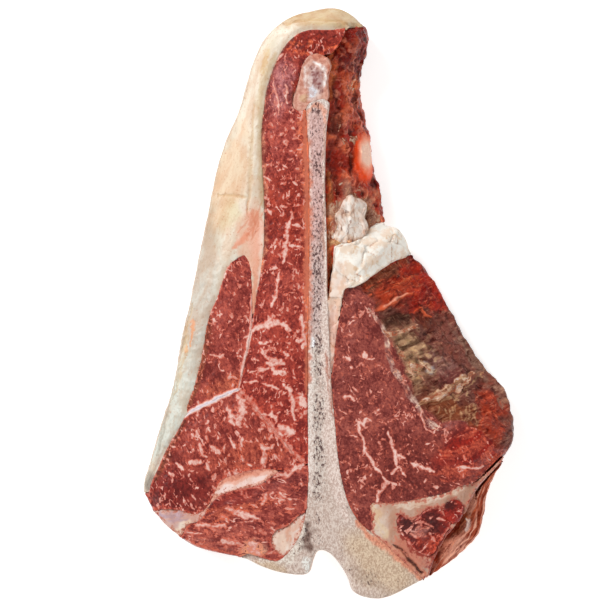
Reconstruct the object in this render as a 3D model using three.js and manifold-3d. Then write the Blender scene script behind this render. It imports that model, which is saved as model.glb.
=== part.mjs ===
// A raw, dry-aged porterhouse steak that lies on one of its two cut faces.
//
// Millimetres. +Y runs from the chine, where the backbone was sawn, to the thin tail end.
// +X points to the tenderloin side, -X to the fat cap, and +Z up through the thickness.
// The origin is on the table under the middle of the steak.
//
// Bone, muscles and fat run through the whole thickness, so each piece is an upright prism of
// its outline on the cut face. All of them are cut from one body: the steak's own edge, with
// its rounded foot, under an upper face that falls away in a shoulder towards the edge.

import * as THREE from "three";
import { mergeVertices } from "three/addons/utils/BufferGeometryUtils.js";
import Module from "manifold-3d";

const wasm = await Module();
wasm.setup();

// Driving dimensions
const THICKNESS = 34; // between the two cut faces
const SEAM_GAP = 0.3; // clearance between neighbouring pieces
const FOOT_INSET = 1.8; // how far the edge is drawn in where it meets the table
const FOOT_HEIGHT = 3; // height of the rounded foot
const FOOT_ROUND = { up: 0.3, inset: 0.35 }; // a point of its curve, as shares of both
const BELLY = 0.8; // how far the soft side bulges
const BELLY_LEVEL = 0.4; // share of the thickness at which it bulges most
const SWELL_REACH = 5; // a muscle's swelling grows over this distance from its seams
const LIP = 1.2; // bevel that breaks the edge of the upper face
const EDGE_STEPS = 3; // edge samples between two points of EDGE
const OUTLINE_STEP = 3.2; // sample spacing along a piece's outline
const FACE_PITCH = 4.4; // grid of the upper face
const FINE_PITCH = 2.8; // the same, on lumpy pieces
const BONE_PITCH = 6; // the same, on the flat sawn bone
const ABOVE = 12; // how far cutting prisms reach past both faces
const WELD = 1e-4; // corners closer than this are one
const SHOULDER_SLANT = 0.45; // share of a shoulder's fall that is a straight slope
const SHOULDER_REACH = 1.5; // the fall goes on past the rim, up to this many shoulder widths

// The steak's edge, clockwise from the fat tip at the tail end. Each point is
// [x, y, height of the rim, width of the shoulder that falls to it].
const EDGE = [
  // fat tip and the lean corner beside it
  [3, 130, 21, 9],
  [9, 127.8, 21, 8],
  [14.3, 122.6, 25, 5],
  [17, 118, 25, 6],
  [15.6, 109, 18, 12],
  // inner side of the tail, where the belly wall was peeled off
  [13.8, 101, 15, 14],
  [13, 93, 14, 14],
  [15.6, 82, 14, 16],
  [18, 72, 14, 18],
  [19.4, 60, 14, 20],
  [22.2, 51, 14, 23],
  [23.6, 42, 15, 24],
  [24.2, 34.6, 17, 22],
  // kidney fat
  [29.5, 32.6, 17, 22],
  [33.2, 28.5, 15, 24],
  [36, 22, 13, 28],
  // dark outer side of the tenderloin
  [43, 14, 11, 31],
  [48.2, 8, 10, 32],
  [53.8, -4, 8, 34],
  [61, -16, 8, 35],
  [69.5, -29, 8, 35],
  [76.5, -36.5, 10, 34],
  [79.6, -44, 13, 30],
  [80.8, -53, 19, 20],
  [81, -60, 25, 8],
  // layered side below the tenderloin
  [78, -67, 25, 5],
  [73.6, -74, 21, 6],
  [70, -84, 14, 9],
  [68.2, -94, 12, 11],
  [65.5, -103, 12, 12],
  [59, -109.5, 12, 12],
  [51.5, -115.3, 16, 8],
  [44.5, -119.5, 29, 5],
  // sawn backbone with half of the spinal canal
  [35, -125, 34, 3],
  [23, -130, 34, 3],
  [11.5, -127.2, 34, 3],
  [9.5, -121.5, 34, 3],
  [5, -114, 34, 3],
  [-0.5, -109, 34, 3],
  [-5, -108.8, 34, 3],
  [-7.4, -114, 34, 3],
  [-9, -118.9, 34, 3],
  [-17, -119.1, 34, 3],
  [-28, -116.3, 33.5, 3],
  // chine side of the strip
  [-37, -112, 31, 4],
  [-47, -110, 30, 5],
  [-58, -107, 29, 5],
  [-66, -102, 28, 6],
  [-73.5, -95.5, 28, 6],
  [-79, -87, 27, 6],
  [-81, -80, 27, 6],
  // fat cap
  [-78.6, -72.5, 28, 5],
  [-76, -63, 29, 5],
  [-72.6, -52, 29, 5],
  [-68.8, -40, 29, 5],
  [-66, -27, 28, 5],
  [-63.9, -14, 28, 6],
  [-60.6, -1, 27, 7],
  [-58, 13, 26, 9],
  [-54.8, 28, 24, 12],
  [-51.4, 45, 22, 15],
  [-48, 61, 21, 15],
  [-44, 73, 21, 12],
  [-39, 84, 22, 9],
  [-35.6, 96, 23, 7],
  [-32, 108, 24, 6],
  [-26, 118.6, 25, 5],
  [-18, 125.2, 24, 6],
  [-7, 128.8, 21, 8],
];

// Outlines on the cut face. They may reach past the edge, which trims them, and into a piece
// that was carved before them, which keeps its shape.
const OUTLINES = {
  bone: [
    [-5, 89.4], [-0.2, 89.6], [0, 86], [-1, 78], [-1.7, 62], [-1.6, 44], [-1, 28], [-0.8, 10],
    [-0.2, -6], [0.3, -20], [1.2, -36], [2.6, -52], [4, -67], [6, -79], [9.2, -89.5], [14, -97],
    [22, -103.5], [30, -111], [37, -118], [43, -124], [35, -136], [0, -134], [-30, -126],
    [-40, -117], [-36.5, -110.3], [-29, -112], [-22.5, -113.6], [-17, -109.4], [-12.6, -102.4],
    [-10, -94], [-8.9, -82], [-8.9, -45], [-8.9, -15], [-8.5, 10], [-8.2, 40], [-8.5, 64],
    [-9.4, 80], [-9.4, 87],
  ],
  boneTip: [
    [-5, 110], [-9, 108.6], [-11.3, 105], [-12.7, 99.5], [-14.3, 94], [-15.8, 88.5], [-14.6, 85],
    [-11.2, 84.4], [-9, 86.6], [-5, 88], [-1, 88.6], [0.2, 91], [-0.4, 96], [0, 101], [1.2, 106],
  ],
  tailMuscle: [
    [7.4, 121.2], [3, 120.2], [-10, 119.9], [-14.5, 117.7], [-19, 113.2], [-22.6, 106.6],
    [-25.6, 99], [-27.8, 89], [-29.2, 76], [-28.9, 60], [-28, 43], [-28.3, 26], [-29.6, 14],
    [-31.4, 4], [-32.8, -6], [-34.6, -15], [-37, -28], [-39.5, -38.4], [-34.8, -43.4],
    [-29.8, -48.8], [-20, -60], [-14.8, -66.6], [-9, -71], [-5, -66], [-5, -20], [-5, 40],
    [-5, 86], [-7, 100], [-3, 109], [1.4, 110.4], [4.4, 113.4], [6.6, 117.6],
  ],
  sideMuscle: [
    [-36.9, 21.4], [-41, 19.2], [-44.6, 15], [-47, 7.6], [-49.4, 1], [-52.5, -6.4], [-54.1, -15],
    [-56.2, -27], [-59.4, -38], [-62.4, -48.6], [-56, -46], [-50, -42.4], [-44, -39.8],
    [-38, -38], [-34.6, -28], [-33.6, -14], [-33.9, -4], [-33.8, 8], [-34.8, 17],
  ],
  eyeMuscle: [
    [-62, -48.9], [-56, -45.6], [-50, -42.5], [-44, -40], [-38, -37.6], [-24, -53], [-8, -70],
    [-14, -72.4], [-20, -73.6], [-26, -72.8], [-33, -73.2], [-42, -75.6], [-47.4, -77.8],
    [-50, -83], [-53.6, -89.4], [-58, -92.8], [-64, -91.2], [-72, -90.4], [-86, -94],
    [-86, -84], [-79.4, -84], [-77.6, -78.8], [-74.6, -72.4], [-70.8, -64], [-66.4, -56.4],
  ],
  chineFat: [
    [-6, -91.5], [-13, -93.4], [-16, -96.6], [-19, -98.6], [-23.6, -100], [-25.2, -104.4],
    [-23.4, -108.8], [-19.4, -111], [-14, -110], [-6, -100],
  ],
  chineMuscle: [
    [-61, -96.8], [-56.6, -95.8], [-53.2, -90.8], [-50, -86.4], [-46, -83.8], [-39, -81.8],
    [-31, -80.2], [-25.4, -76.6], [-19, -72.6], [-10.5, -69], [-5, -70], [-5, -92],
    [-13, -100], [-16.4, -112], [-24, -116], [-33, -115], [-42, -116], [-56, -114],
    [-66, -107], [-63.6, -101],
  ],
  chainRound: [
    [54.4, -86.4], [51.6, -88.4], [51, -92], [52.6, -95.4], [55.4, -97], [58.6, -94.2],
    [59.4, -90], [57.6, -87],
  ],
  chainMuscle: [
    [31.4, -92.6], [33.6, -93.4], [36, -95.8], [39.4, -94.8], [42, -91.8], [47.4, -90.4],
    [51.4, -92], [54, -97.4], [50.6, -102.4], [47.6, -107.2], [45.8, -111], [42.6, -110.8],
    [37.4, -107.6], [32.6, -102], [30, -97],
  ],
  sideLining: [
    [86, -60], [79.6, -66.6], [73.6, -73], [67.6, -79.2], [63, -86], [60.4, -92.4], [56, -97.6],
    [51, -104], [47.4, -111], [45, -117.4], [44, -125], [64, -122], [84, -96],
  ],
  tenderloin: [
    [7.4, 6.4], [6.2, 0], [4.8, -8], [3.2, -18], [2.4, -27], [1, -34], [-1, -50], [0, -70],
    [5, -86], [12, -96], [18.6, -100.6], [19.5, -97], [18.6, -91], [18, -87.8], [26, -87.8],
    [34, -86.9], [43, -85.2], [51, -83.4], [58, -80.4], [64, -78.8], [70, -74], [78, -66.4],
    [88, -58], [88, -20], [62, 10], [44, 26], [37, 21.6], [29, 18.6], [20, 12.8], [12.4, 7.2],
  ],
  suet: [
    [24, 36], [19.4, 34.4], [17.4, 31], [13, 27.8], [8, 26.4], [3, 25.6], [2.4, 19], [1.2, 11],
    [0.4, 4], [-1.6, -2], [-1.4, -18], [-0.6, -29], [1.8, -31], [5.4, -22], [9, 0], [14, 4],
    [30, 14], [40, 20], [42, 32], [32, 40],
  ],
  upperSuet: [
    [9.4, 47.8], [7.4, 45], [6.6, 41], [3.8, 38.6], [4.4, 34.4], [2, 31.4], [2.6, 28], [8, 27.6],
    [15.2, 30], [16.8, 33.4], [15, 37.6], [16.8, 42], [14.4, 45.6], [12, 44.4],
  ],
  flankLining: [
    [-3, 108], [1.4, 109.6], [4.6, 112.6], [6.8, 117], [8.2, 121.4], [13.6, 121.6], [24, 124],
    [24, 100], [30, 60], [30, 35.2], [20, 34.4], [14, 27], [6, 25], [3.4, 14], [2, 5.4],
    [-1.4, 5], [-4, 40], [-4, 90],
  ],
  seamFat: [
    [-20, -71.4], [-30, -70.8], [-44, -73.6], [-50, -78], [-54, -86], [-58, -90], [-70, -88],
    [-82, -88.6], [-86, -98], [-66, -110], [-60, -99], [-54, -94], [-47, -86], [-32, -82.6],
    [-24, -78.6],
  ],
  chainFat: [
    [17, -86], [25, -85], [44, -82], [60, -77], [80, -61], [72, -78], [66, -94], [52, -112],
    [46, -127], [38, -124], [20, -106], [15, -98],
  ],
  fatCap: [
    [7, 118], [0, 116], [-14, 112], [-26, 84], [-25, 36], [-28, 12], [-31.5, -8], [-37, -12],
    [-45, -10], [-50, -38], [-62, -50], [-68, -72], [-76, -84], [-79, -87.4], [-92, -88],
    [-84, -20], [-64, 60], [-40, 130], [0, 140], [22, 124], [14, 121.4],
  ],
};

const MATERIALS = {
  bone: { color: 0xc9b2a5, roughness: 0.6 },
  gristle: { color: 0xd6bdb2, roughness: 0.4 },
  lean: { color: 0xa65347, roughness: 0.4 },
  darkLean: { color: 0x8f463c, roughness: 0.4 },
  lining: { color: 0x7a3528, roughness: 0.35 },
  fat: { color: 0xe2d0b8, roughness: 0.5 },
  pinkFat: { color: 0xe3b4a0, roughness: 0.5 },
  suet: { color: 0xe8dccd, roughness: 0.6 },
};

// Reliefs of the upper face: each gives a height over the point (x, y)

const smoothstep = THREE.MathUtils.smoothstep;
const clamp = THREE.MathUtils.clamp;

// Distance from (x, y) to the stretch a to b, and how far along it the foot lies, 0 to 1.
function toStretch(x, y, [ax, ay], [bx, by]) {
  const along = clamp(
    ((x - ax) * (bx - ax) + (y - ay) * (by - ay)) / ((bx - ax) ** 2 + (by - ay) ** 2),
    0,
    1,
  );
  const distance = Math.hypot(x - ax - along * (bx - ax), y - ay - along * (by - ay));
  return { along, distance };
}

// Distance from (x, y) to a line through several points.
function toLine(x, y, points) {
  const stretches = points.slice(1).map((p, i) => toStretch(x, y, points[i], p).distance);
  return Math.min(...stretches);
}

// A ridge, or with a negative height a furrow, along a line.
const ridge = (points, height, width) => (x, y) =>
  height * Math.exp(-((toLine(x, y, points) / width) ** 2));

// A rounded lump: half an egg of the given half lengths, turned by an angle.
const lump = (cx, cy, rx, ry, height, degrees = 0) => (x, y) => {
  const turn = THREE.MathUtils.degToRad(degrees);
  const u = ((x - cx) * Math.cos(turn) + (y - cy) * Math.sin(turn)) / rx;
  const v = ((y - cy) * Math.cos(turn) - (x - cx) * Math.sin(turn)) / ry;
  return height * Math.sqrt(Math.max(0, 1 - u * u - v * v));
};

const level = (height) => () => height;
const sumOf = (...parts) => (x, y) => parts.reduce((total, part) => total + part(x, y), 0);
const highestOf = (...parts) => (x, y) => Math.max(...parts.map((part) => part(x, y)));

// The edge, its rim height and its shoulder width

const edgeCurve = new THREE.CatmullRomCurve3(
  EDGE.map(([x, y, rim]) => new THREE.Vector3(x, y, rim)),
  true,
  "centripetal",
);
const samplesOnEdge = EDGE.length * EDGE_STEPS;
const edge = Array.from({ length: samplesOnEdge }, (_, i) => {
  const point = edgeCurve.getPoint(i / samplesOnEdge);
  const key = Math.floor(i / EDGE_STEPS);
  const share = (i % EDGE_STEPS) / EDGE_STEPS;
  const shoulder = THREE.MathUtils.lerp(EDGE[key][3], EDGE[(key + 1) % EDGE.length][3], share);
  return { x: point.x, y: point.y, rim: point.z, shoulder };
});

function isInside(x, y, loop) {
  let inside = false;
  for (let i = 0, j = loop.length - 1; i < loop.length; j = i++) {
    const [a, b] = [loop[i], loop[j]];
    const crosses = a.y > y !== b.y > y;
    if (crosses && x < ((b.x - a.x) * (y - a.y)) / (b.y - a.y) + a.x) inside = !inside;
  }
  return inside;
}

// How much of a shoulder's fall is done at u, from 0 at its crest to 1 at the rim. It is a
// slope that steepens, and past the rim it goes straight on.
function shoulderFall(u) {
  const bend = 1 - SHOULDER_SLANT;
  const past = Math.max(0, u - 1);
  const within = Math.min(u, 1);
  return SHOULDER_SLANT * within + bend * within ** 2 + (SHOULDER_SLANT + 2 * bend) * past;
}

// Height of the upper face before each piece's own relief is added.
function faceHeight(x, y) {
  let nearest = { distance: Infinity };
  edge.forEach((a, i) => {
    const b = edge[(i + 1) % edge.length];
    const { along, distance } = toStretch(x, y, [a.x, a.y], [b.x, b.y]);
    if (distance < nearest.distance)
      nearest = {
        distance,
        rim: THREE.MathUtils.lerp(a.rim, b.rim, along),
        shoulder: THREE.MathUtils.lerp(a.shoulder, b.shoulder, along),
      };
  });
  const depth = isInside(x, y, edge) ? nearest.distance : -nearest.distance;
  const u = clamp(1 - depth / nearest.shoulder, 0, SHOULDER_REACH);
  return THICKNESS - (THICKNESS - nearest.rim) * shoulderFall(u);
}

// Solids from three.js geometry

function toSolid(geometry) {
  geometry.deleteAttribute("normal");
  geometry.deleteAttribute("uv");
  const merged = mergeVertices(geometry, WELD);
  return new wasm.Manifold(
    new wasm.Mesh({
      numProp: 3,
      vertProperties: merged.attributes.position.array,
      triVerts: new Uint32Array(merged.index.array),
    }),
  );
}

// A closed loop moved outwards by a distance, or inwards by a negative one. It runs
// anticlockwise, so its right-hand side is outside.
function grownLoop(loop, distance) {
  return loop.map((p, i) => {
    const before = loop.at(i - 1);
    const after = loop[(i + 1) % loop.length];
    const outward = new THREE.Vector2(after.y - before.y, before.x - after.x).normalize();
    return new THREE.Vector2(p.x + distance * outward.x, p.y + distance * outward.y);
  });
}

function anticlockwise(loop) {
  return THREE.ShapeUtils.isClockWise(loop) ? [...loop].reverse() : loop;
}

function smoothLoop(points) {
  const curve = new THREE.CatmullRomCurve3(
    points.map(([x, y]) => new THREE.Vector3(x, y, 0)),
    true,
    "centripetal",
  );
  const count = Math.round(curve.getLength() / OUTLINE_STEP);
  const loop = curve.getSpacedPoints(count).slice(0, count);
  return anticlockwise(loop.map((p) => new THREE.Vector2(p.x, p.y)));
}

function prism(loop) {
  const geometry = new THREE.ExtrudeGeometry(new THREE.Shape(loop), {
    depth: THICKNESS + 2 * ABOVE,
    bevelEnabled: false,
  });
  return toSolid(geometry.translate(0, 0, -ABOVE));
}

// The steak's edge as a wall with a rounded foot, a soft belly and a bevelled lip, flat
// underneath.
function edgeBody() {
  const outline = anticlockwise(edge.map(({ x, y }) => new THREE.Vector2(x, y)));
  const levels = [
    [0, -FOOT_INSET],
    [FOOT_HEIGHT * FOOT_ROUND.up, -FOOT_INSET * FOOT_ROUND.inset],
    [FOOT_HEIGHT, 0],
    [THICKNESS * BELLY_LEVEL, BELLY],
    [THICKNESS - LIP, 0],
    [THICKNESS, -LIP],
    [THICKNESS + ABOVE, -LIP],
  ];
  const rings = levels.map(([, growth]) => grownLoop(outline, growth));
  const n = outline.length;
  const position = rings.flatMap((ring, k) => ring.flatMap((p) => [p.x, p.y, levels[k][0]]));
  const index = [];
  for (let k = 0; k < rings.length - 1; k++)
    for (let i = 0; i < n; i++) {
      const [a, b] = [k * n + i, k * n + ((i + 1) % n)];
      index.push(a, b, b + n, a, b + n, a + n);
    }
  const top = (rings.length - 1) * n;
  for (const [a, b, c] of THREE.ShapeUtils.triangulateShape(rings[0], [])) index.push(a, c, b);
  for (const [a, b, c] of THREE.ShapeUtils.triangulateShape(rings.at(-1), []))
    index.push(top + a, top + b, top + c);
  const geometry = new THREE.BufferGeometry();
  geometry.setAttribute("position", new THREE.Float32BufferAttribute(position, 3));
  geometry.setIndex(index);
  return toSolid(geometry);
}

// A block under the upper face, over the box of a loop, with the piece's own relief on top.
function faceBlock(loop, relief, pitch) {
  const box = new THREE.Box2().setFromPoints(loop).expandByScalar(pitch);
  const size = box.getSize(new THREE.Vector2());
  const centre = box.getCenter(new THREE.Vector2());
  const geometry = new THREE.BoxGeometry(
    size.x,
    size.y,
    THICKNESS,
    Math.ceil(size.x / pitch),
    Math.ceil(size.y / pitch),
    1,
  );
  geometry.translate(centre.x, centre.y, 0);
  const position = geometry.attributes.position;
  for (let i = 0; i < position.count; i++) {
    const [x, y] = [position.getX(i), position.getY(i)];
    const isTop = position.getZ(i) > 0;
    position.setZ(i, isTop ? faceHeight(x, y) + relief(x, y) : -ABOVE);
  }
  return toSolid(geometry);
}

// Height that a muscle gains from its seams to its middle, as cut meat relaxes and swells.
function swelling(loop, height) {
  const points = [...loop, loop[0]].map((p) => [p.x, p.y]);
  return (x, y) => {
    const distance = isInside(x, y, loop) ? toLine(x, y, points) : 0;
    return height * (1 - Math.exp(-distance / SWELL_REACH)) - height / 2;
  };
}

// Carving: each piece is trimmed by the edge and by the pieces that came before it

const steakBody = edgeBody();
const cutters = [];

function carve(name, points, look, { relief = level(0), swell = 0, pitch = FACE_PITCH } = {}) {
  const loop = smoothLoop(points);
  const shape = sumOf(swelling(loop, swell), relief);
  let solid = faceBlock(loop, shape, pitch).intersect(prism(loop)).intersect(steakBody);
  for (const cutter of cutters) solid = solid.subtract(cutter);
  cutters.push(prism(grownLoop(loop, SEAM_GAP)));
  const whole = solid.decompose().sort((a, b) => b.volume() - a.volume())[0];
  return toMesh(name, whole, new THREE.MeshStandardMaterial(look));
}

// A mesh whose own origin is on the table under the middle of the piece.
function toMesh(name, solid, material) {
  const { numProp, numVert, vertProperties, triVerts } = solid.getMesh();
  const position = new Float32Array(numVert * 3);
  for (let i = 0; i < numVert; i++)
    position.set(vertProperties.subarray(i * numProp, i * numProp + 3), i * 3);
  const geometry = new THREE.BufferGeometry();
  geometry.setAttribute("position", new THREE.BufferAttribute(position, 3));
  geometry.setIndex(new THREE.BufferAttribute(triVerts, 1));
  geometry.computeBoundingBox();
  const centre = geometry.boundingBox.getCenter(new THREE.Vector3()).setZ(0).round();
  geometry.translate(-centre.x, -centre.y, 0);
  geometry.computeVertexNormals();
  const mesh = new THREE.Mesh(geometry, material);
  mesh.name = name;
  mesh.position.copy(centre);
  return mesh;
}

// Bone: the sawn backbone with the long side process, and the gristly tip of that process

const bone = new THREE.Group();
bone.add(
  carve("t_bone", OUTLINES.bone, MATERIALS.bone, { relief: level(0.3), pitch: BONE_PITCH }),
  carve("bone_tip", OUTLINES.boneTip, MATERIALS.gristle, { relief: level(0.2) }),
);

// Strip side: four muscles, left of the bone

const strip = new THREE.Group();
strip.add(
  carve("tail_muscle", OUTLINES.tailMuscle, MATERIALS.lean, { swell: 1.4 }),
  carve("eye_muscle", OUTLINES.eyeMuscle, MATERIALS.lean, { swell: 1.6 }),
  carve("side_muscle", OUTLINES.sideMuscle, MATERIALS.lean, { swell: 1.4 }),
  carve("chine_fat", OUTLINES.chineFat, MATERIALS.pinkFat, { swell: 0.6 }),
  carve("chine_muscle", OUTLINES.chineMuscle, MATERIALS.darkLean, { swell: 1.4 }),
);

// Tenderloin side: the fillet, whose dark outer side has three lobes, and the chain under it

// Furrows between the lobes, a smooth band of fat, and the swell of the middle lobe
const filletSide = sumOf(
  ridge([[20, -6], [36, 0], [52, 1]], -1.6, 3.2),
  ridge([[36, -43], [50, -41.5], [70, -32]], -1.8, 3.4),
  ridge([[18, -3.4], [28, 1], [37, 4.8]], 1.2, 2.6),
  lump(44, -22, 20, 13, 1.6, -35),
);
// A furrow and a fold along the layered side
const chainSide = sumOf(
  ridge([[72, -77], [64, -91], [50, -108]], -1.4, 2.6),
  ridge([[69, -91], [60, -103], [50, -112]], 1, 3),
);
const fillet = new THREE.Group();
fillet.add(
  carve("chain_round", OUTLINES.chainRound, MATERIALS.darkLean, {
    relief: lump(55.4, -91.4, 4.6, 5.6, 1.4),
    pitch: FINE_PITCH,
  }),
  carve("chain_muscle", OUTLINES.chainMuscle, MATERIALS.darkLean, { swell: 1.2 }),
  carve("side_lining", OUTLINES.sideLining, MATERIALS.lining, {
    relief: chainSide,
    pitch: FINE_PITCH,
  }),
  carve("tenderloin", OUTLINES.tenderloin, MATERIALS.darkLean, {
    relief: filletSide,
    swell: 1.2,
  }),
);

// Kidney fat in lumps, and the peeled inner side of the tail, which lies below the bone

// Four lumps of torn kidney fat
const suetLumps = sumOf(
  highestOf(
    lump(27, 26, 11, 10, 4.4, 20),
    lump(13, 17, 12, 8, 3, 25),
    lump(5, 9, 6, 14, 3.4),
    lump(9, 23.5, 8, 4, 3, 5),
  ),
  level(-1),
);
// The peeled side drops beside the bone, and bulges where meat and fat stayed on it
const lining = sumOf(
  (x) => -3.4 * smoothstep(x, -2, 2.5),
  lump(11, 112, 5, 7, 3),
  lump(11, 92, 4.6, 9, 2.6),
  lump(16.6, 66, 3.4, 10, 3.2, 6),
  lump(8, 76, 3.4, 10, 1.8, -20),
  ridge([[3, 84], [3, 60]], -1.6, 2.4),
);
const innerSide = new THREE.Group();
innerSide.add(
  carve("suet", OUTLINES.suet, MATERIALS.suet, { relief: suetLumps, pitch: FINE_PITCH }),
  carve("upper_suet", OUTLINES.upperSuet, MATERIALS.suet, {
    relief: sumOf(lump(10, 37, 9, 13, 2.2), level(-1.8)),
    pitch: FINE_PITCH,
  }),
  carve("flank_lining", OUTLINES.flankLining, MATERIALS.lining, {
    relief: lining,
    pitch: FINE_PITCH,
  }),
);

// Fat: what fills the space between the muscles, and the cap on the outside of the strip

const fat = new THREE.Group();
fat.add(
  carve("seam_fat", OUTLINES.seamFat, MATERIALS.pinkFat),
  carve("chain_fat", OUTLINES.chainFat, MATERIALS.pinkFat, { relief: level(-0.2) }),
  carve("fat_cap", OUTLINES.fatCap, MATERIALS.fat, { relief: level(-0.2) }),
);

const steak = new THREE.Group();
steak.add(bone, strip, fillet, innerSide, fat);

export default steak;
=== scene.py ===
import math
import random

import bmesh
import bpy
import numpy as np
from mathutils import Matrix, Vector, kdtree, noise
from mathutils.bvhtree import BVHTree


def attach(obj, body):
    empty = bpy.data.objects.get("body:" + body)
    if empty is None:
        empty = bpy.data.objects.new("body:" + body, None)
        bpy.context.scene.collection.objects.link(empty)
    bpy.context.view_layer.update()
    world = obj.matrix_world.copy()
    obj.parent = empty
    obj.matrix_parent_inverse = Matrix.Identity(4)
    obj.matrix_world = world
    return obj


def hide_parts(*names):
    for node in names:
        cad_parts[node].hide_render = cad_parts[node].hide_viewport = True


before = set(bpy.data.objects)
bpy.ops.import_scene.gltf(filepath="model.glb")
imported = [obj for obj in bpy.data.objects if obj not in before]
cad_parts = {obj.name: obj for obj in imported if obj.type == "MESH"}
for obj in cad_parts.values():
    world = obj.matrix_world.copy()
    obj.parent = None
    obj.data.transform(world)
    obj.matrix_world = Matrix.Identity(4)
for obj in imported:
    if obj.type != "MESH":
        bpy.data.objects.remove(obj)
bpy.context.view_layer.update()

# Light table, daylight and camera
# A photographer's light table of white acrylic, lit from within so that nothing casts a shadow on
# it. Daylight comes from the upper left. The long lens above it sees the sides hardly at all.

MM = 0.001
TABLE_WHITE, TABLE_BODY = 0xFBFBFA, 0xE2E2E1
VIEW_WIDTH = 266.2  # mm of the steak's upper face that the picture takes in
VIEW_CENTRE = (-11.4, 0.4)  # mm
LENS, SENSOR = 400.0, 36.0  # mm
CUT_FACE = 34.0  # mm above the table


def linear(hex_colour):
    """An sRGB hex value as the linear colour that Blender's sockets take."""
    channels = [(hex_colour >> shift & 255) / 255 for shift in (16, 8, 0)]
    return [c / 12.92 if c <= 0.04045 else ((c + 0.055) / 1.055) ** 2.4 for c in channels] + [1.0]


def add(tree, kind, inputs=None, **settings):
    """Adds a shader node. An input given as a socket is linked, any other value is set."""
    node = tree.nodes.new("ShaderNode" + kind)
    for name, value in settings.items():
        setattr(node, name, value)
    for name, value in (inputs or {}).items():
        if isinstance(value, bpy.types.NodeSocket):
            tree.links.new(value, node.inputs[name])
        else:
            node.inputs[name].default_value = value
    return node


table_mesh = bmesh.new()
bmesh.ops.create_grid(table_mesh, x_segments=1, y_segments=1, size=3.0)
table = bpy.data.objects.new("table", bpy.data.meshes.new("table"))
table_mesh.to_mesh(table.data)
table_mesh.free()
bpy.context.collection.objects.link(table)
acrylic = bpy.data.materials.new("glowing white acrylic")
acrylic.use_nodes = True
acrylic_skin = acrylic.node_tree.nodes["Principled BSDF"]
acrylic_skin.inputs["Base Color"].default_value = linear(TABLE_BODY)
acrylic_skin.inputs["Roughness"].default_value = 0.9
acrylic_skin.inputs["Emission Color"].default_value = linear(TABLE_WHITE)
acrylic_skin.inputs["Emission Strength"].default_value = 0.64
table.data.materials.append(acrylic)


def softbox(name, place, side, watts):
    """A square light that faces the middle of the steak."""
    lamp = bpy.data.lights.new(name, "AREA")
    lamp.size = side
    lamp.energy = watts
    lamp_object = bpy.data.objects.new(name, lamp)
    lamp_object.location = place
    lamp_object.rotation_euler = Vector(place).to_track_quat("Z", "Y").to_euler()
    bpy.context.collection.objects.link(lamp_object)


softbox("window", (-1.0, 0.9, 1.1), 0.8, 25.0)
softbox("reflector", (0.6, -1.2, 1.0), 0.9, 8.0)

sky = bpy.data.worlds.new("white room")
sky.use_nodes = True
sky.node_tree.nodes["Background"].inputs["Color"].default_value = (1, 1, 1, 1)
sky.node_tree.nodes["Background"].inputs["Strength"].default_value = 0.42
scene = bpy.context.scene
scene.world = sky
scene.view_settings.view_transform = "Standard"

camera = bpy.data.objects.new("camera", bpy.data.cameras.new("camera"))
camera.data.lens = LENS
camera.data.sensor_width = SENSOR
distance = VIEW_WIDTH * LENS / SENSOR + CUT_FACE
camera.location = (VIEW_CENTRE[0] * MM, VIEW_CENTRE[1] * MM, distance * MM)
camera.data.clip_end = 20.0
bpy.context.collection.objects.link(camera)
scene.camera = camera

# Sawn bone
# Half a lumbar vertebra with its long side process, sawn through on the band saw. Spongy bone
# with dark marrow in its pores lies inside a dense pale shell, and a pink skin covers the process.

WALL_MESH = 0.7  # mm between the points of a wall; half of it on the upper face
SEAM_REACH = 2.2  # mm; this close to a neighbour the upper face runs on level to meet it


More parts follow.
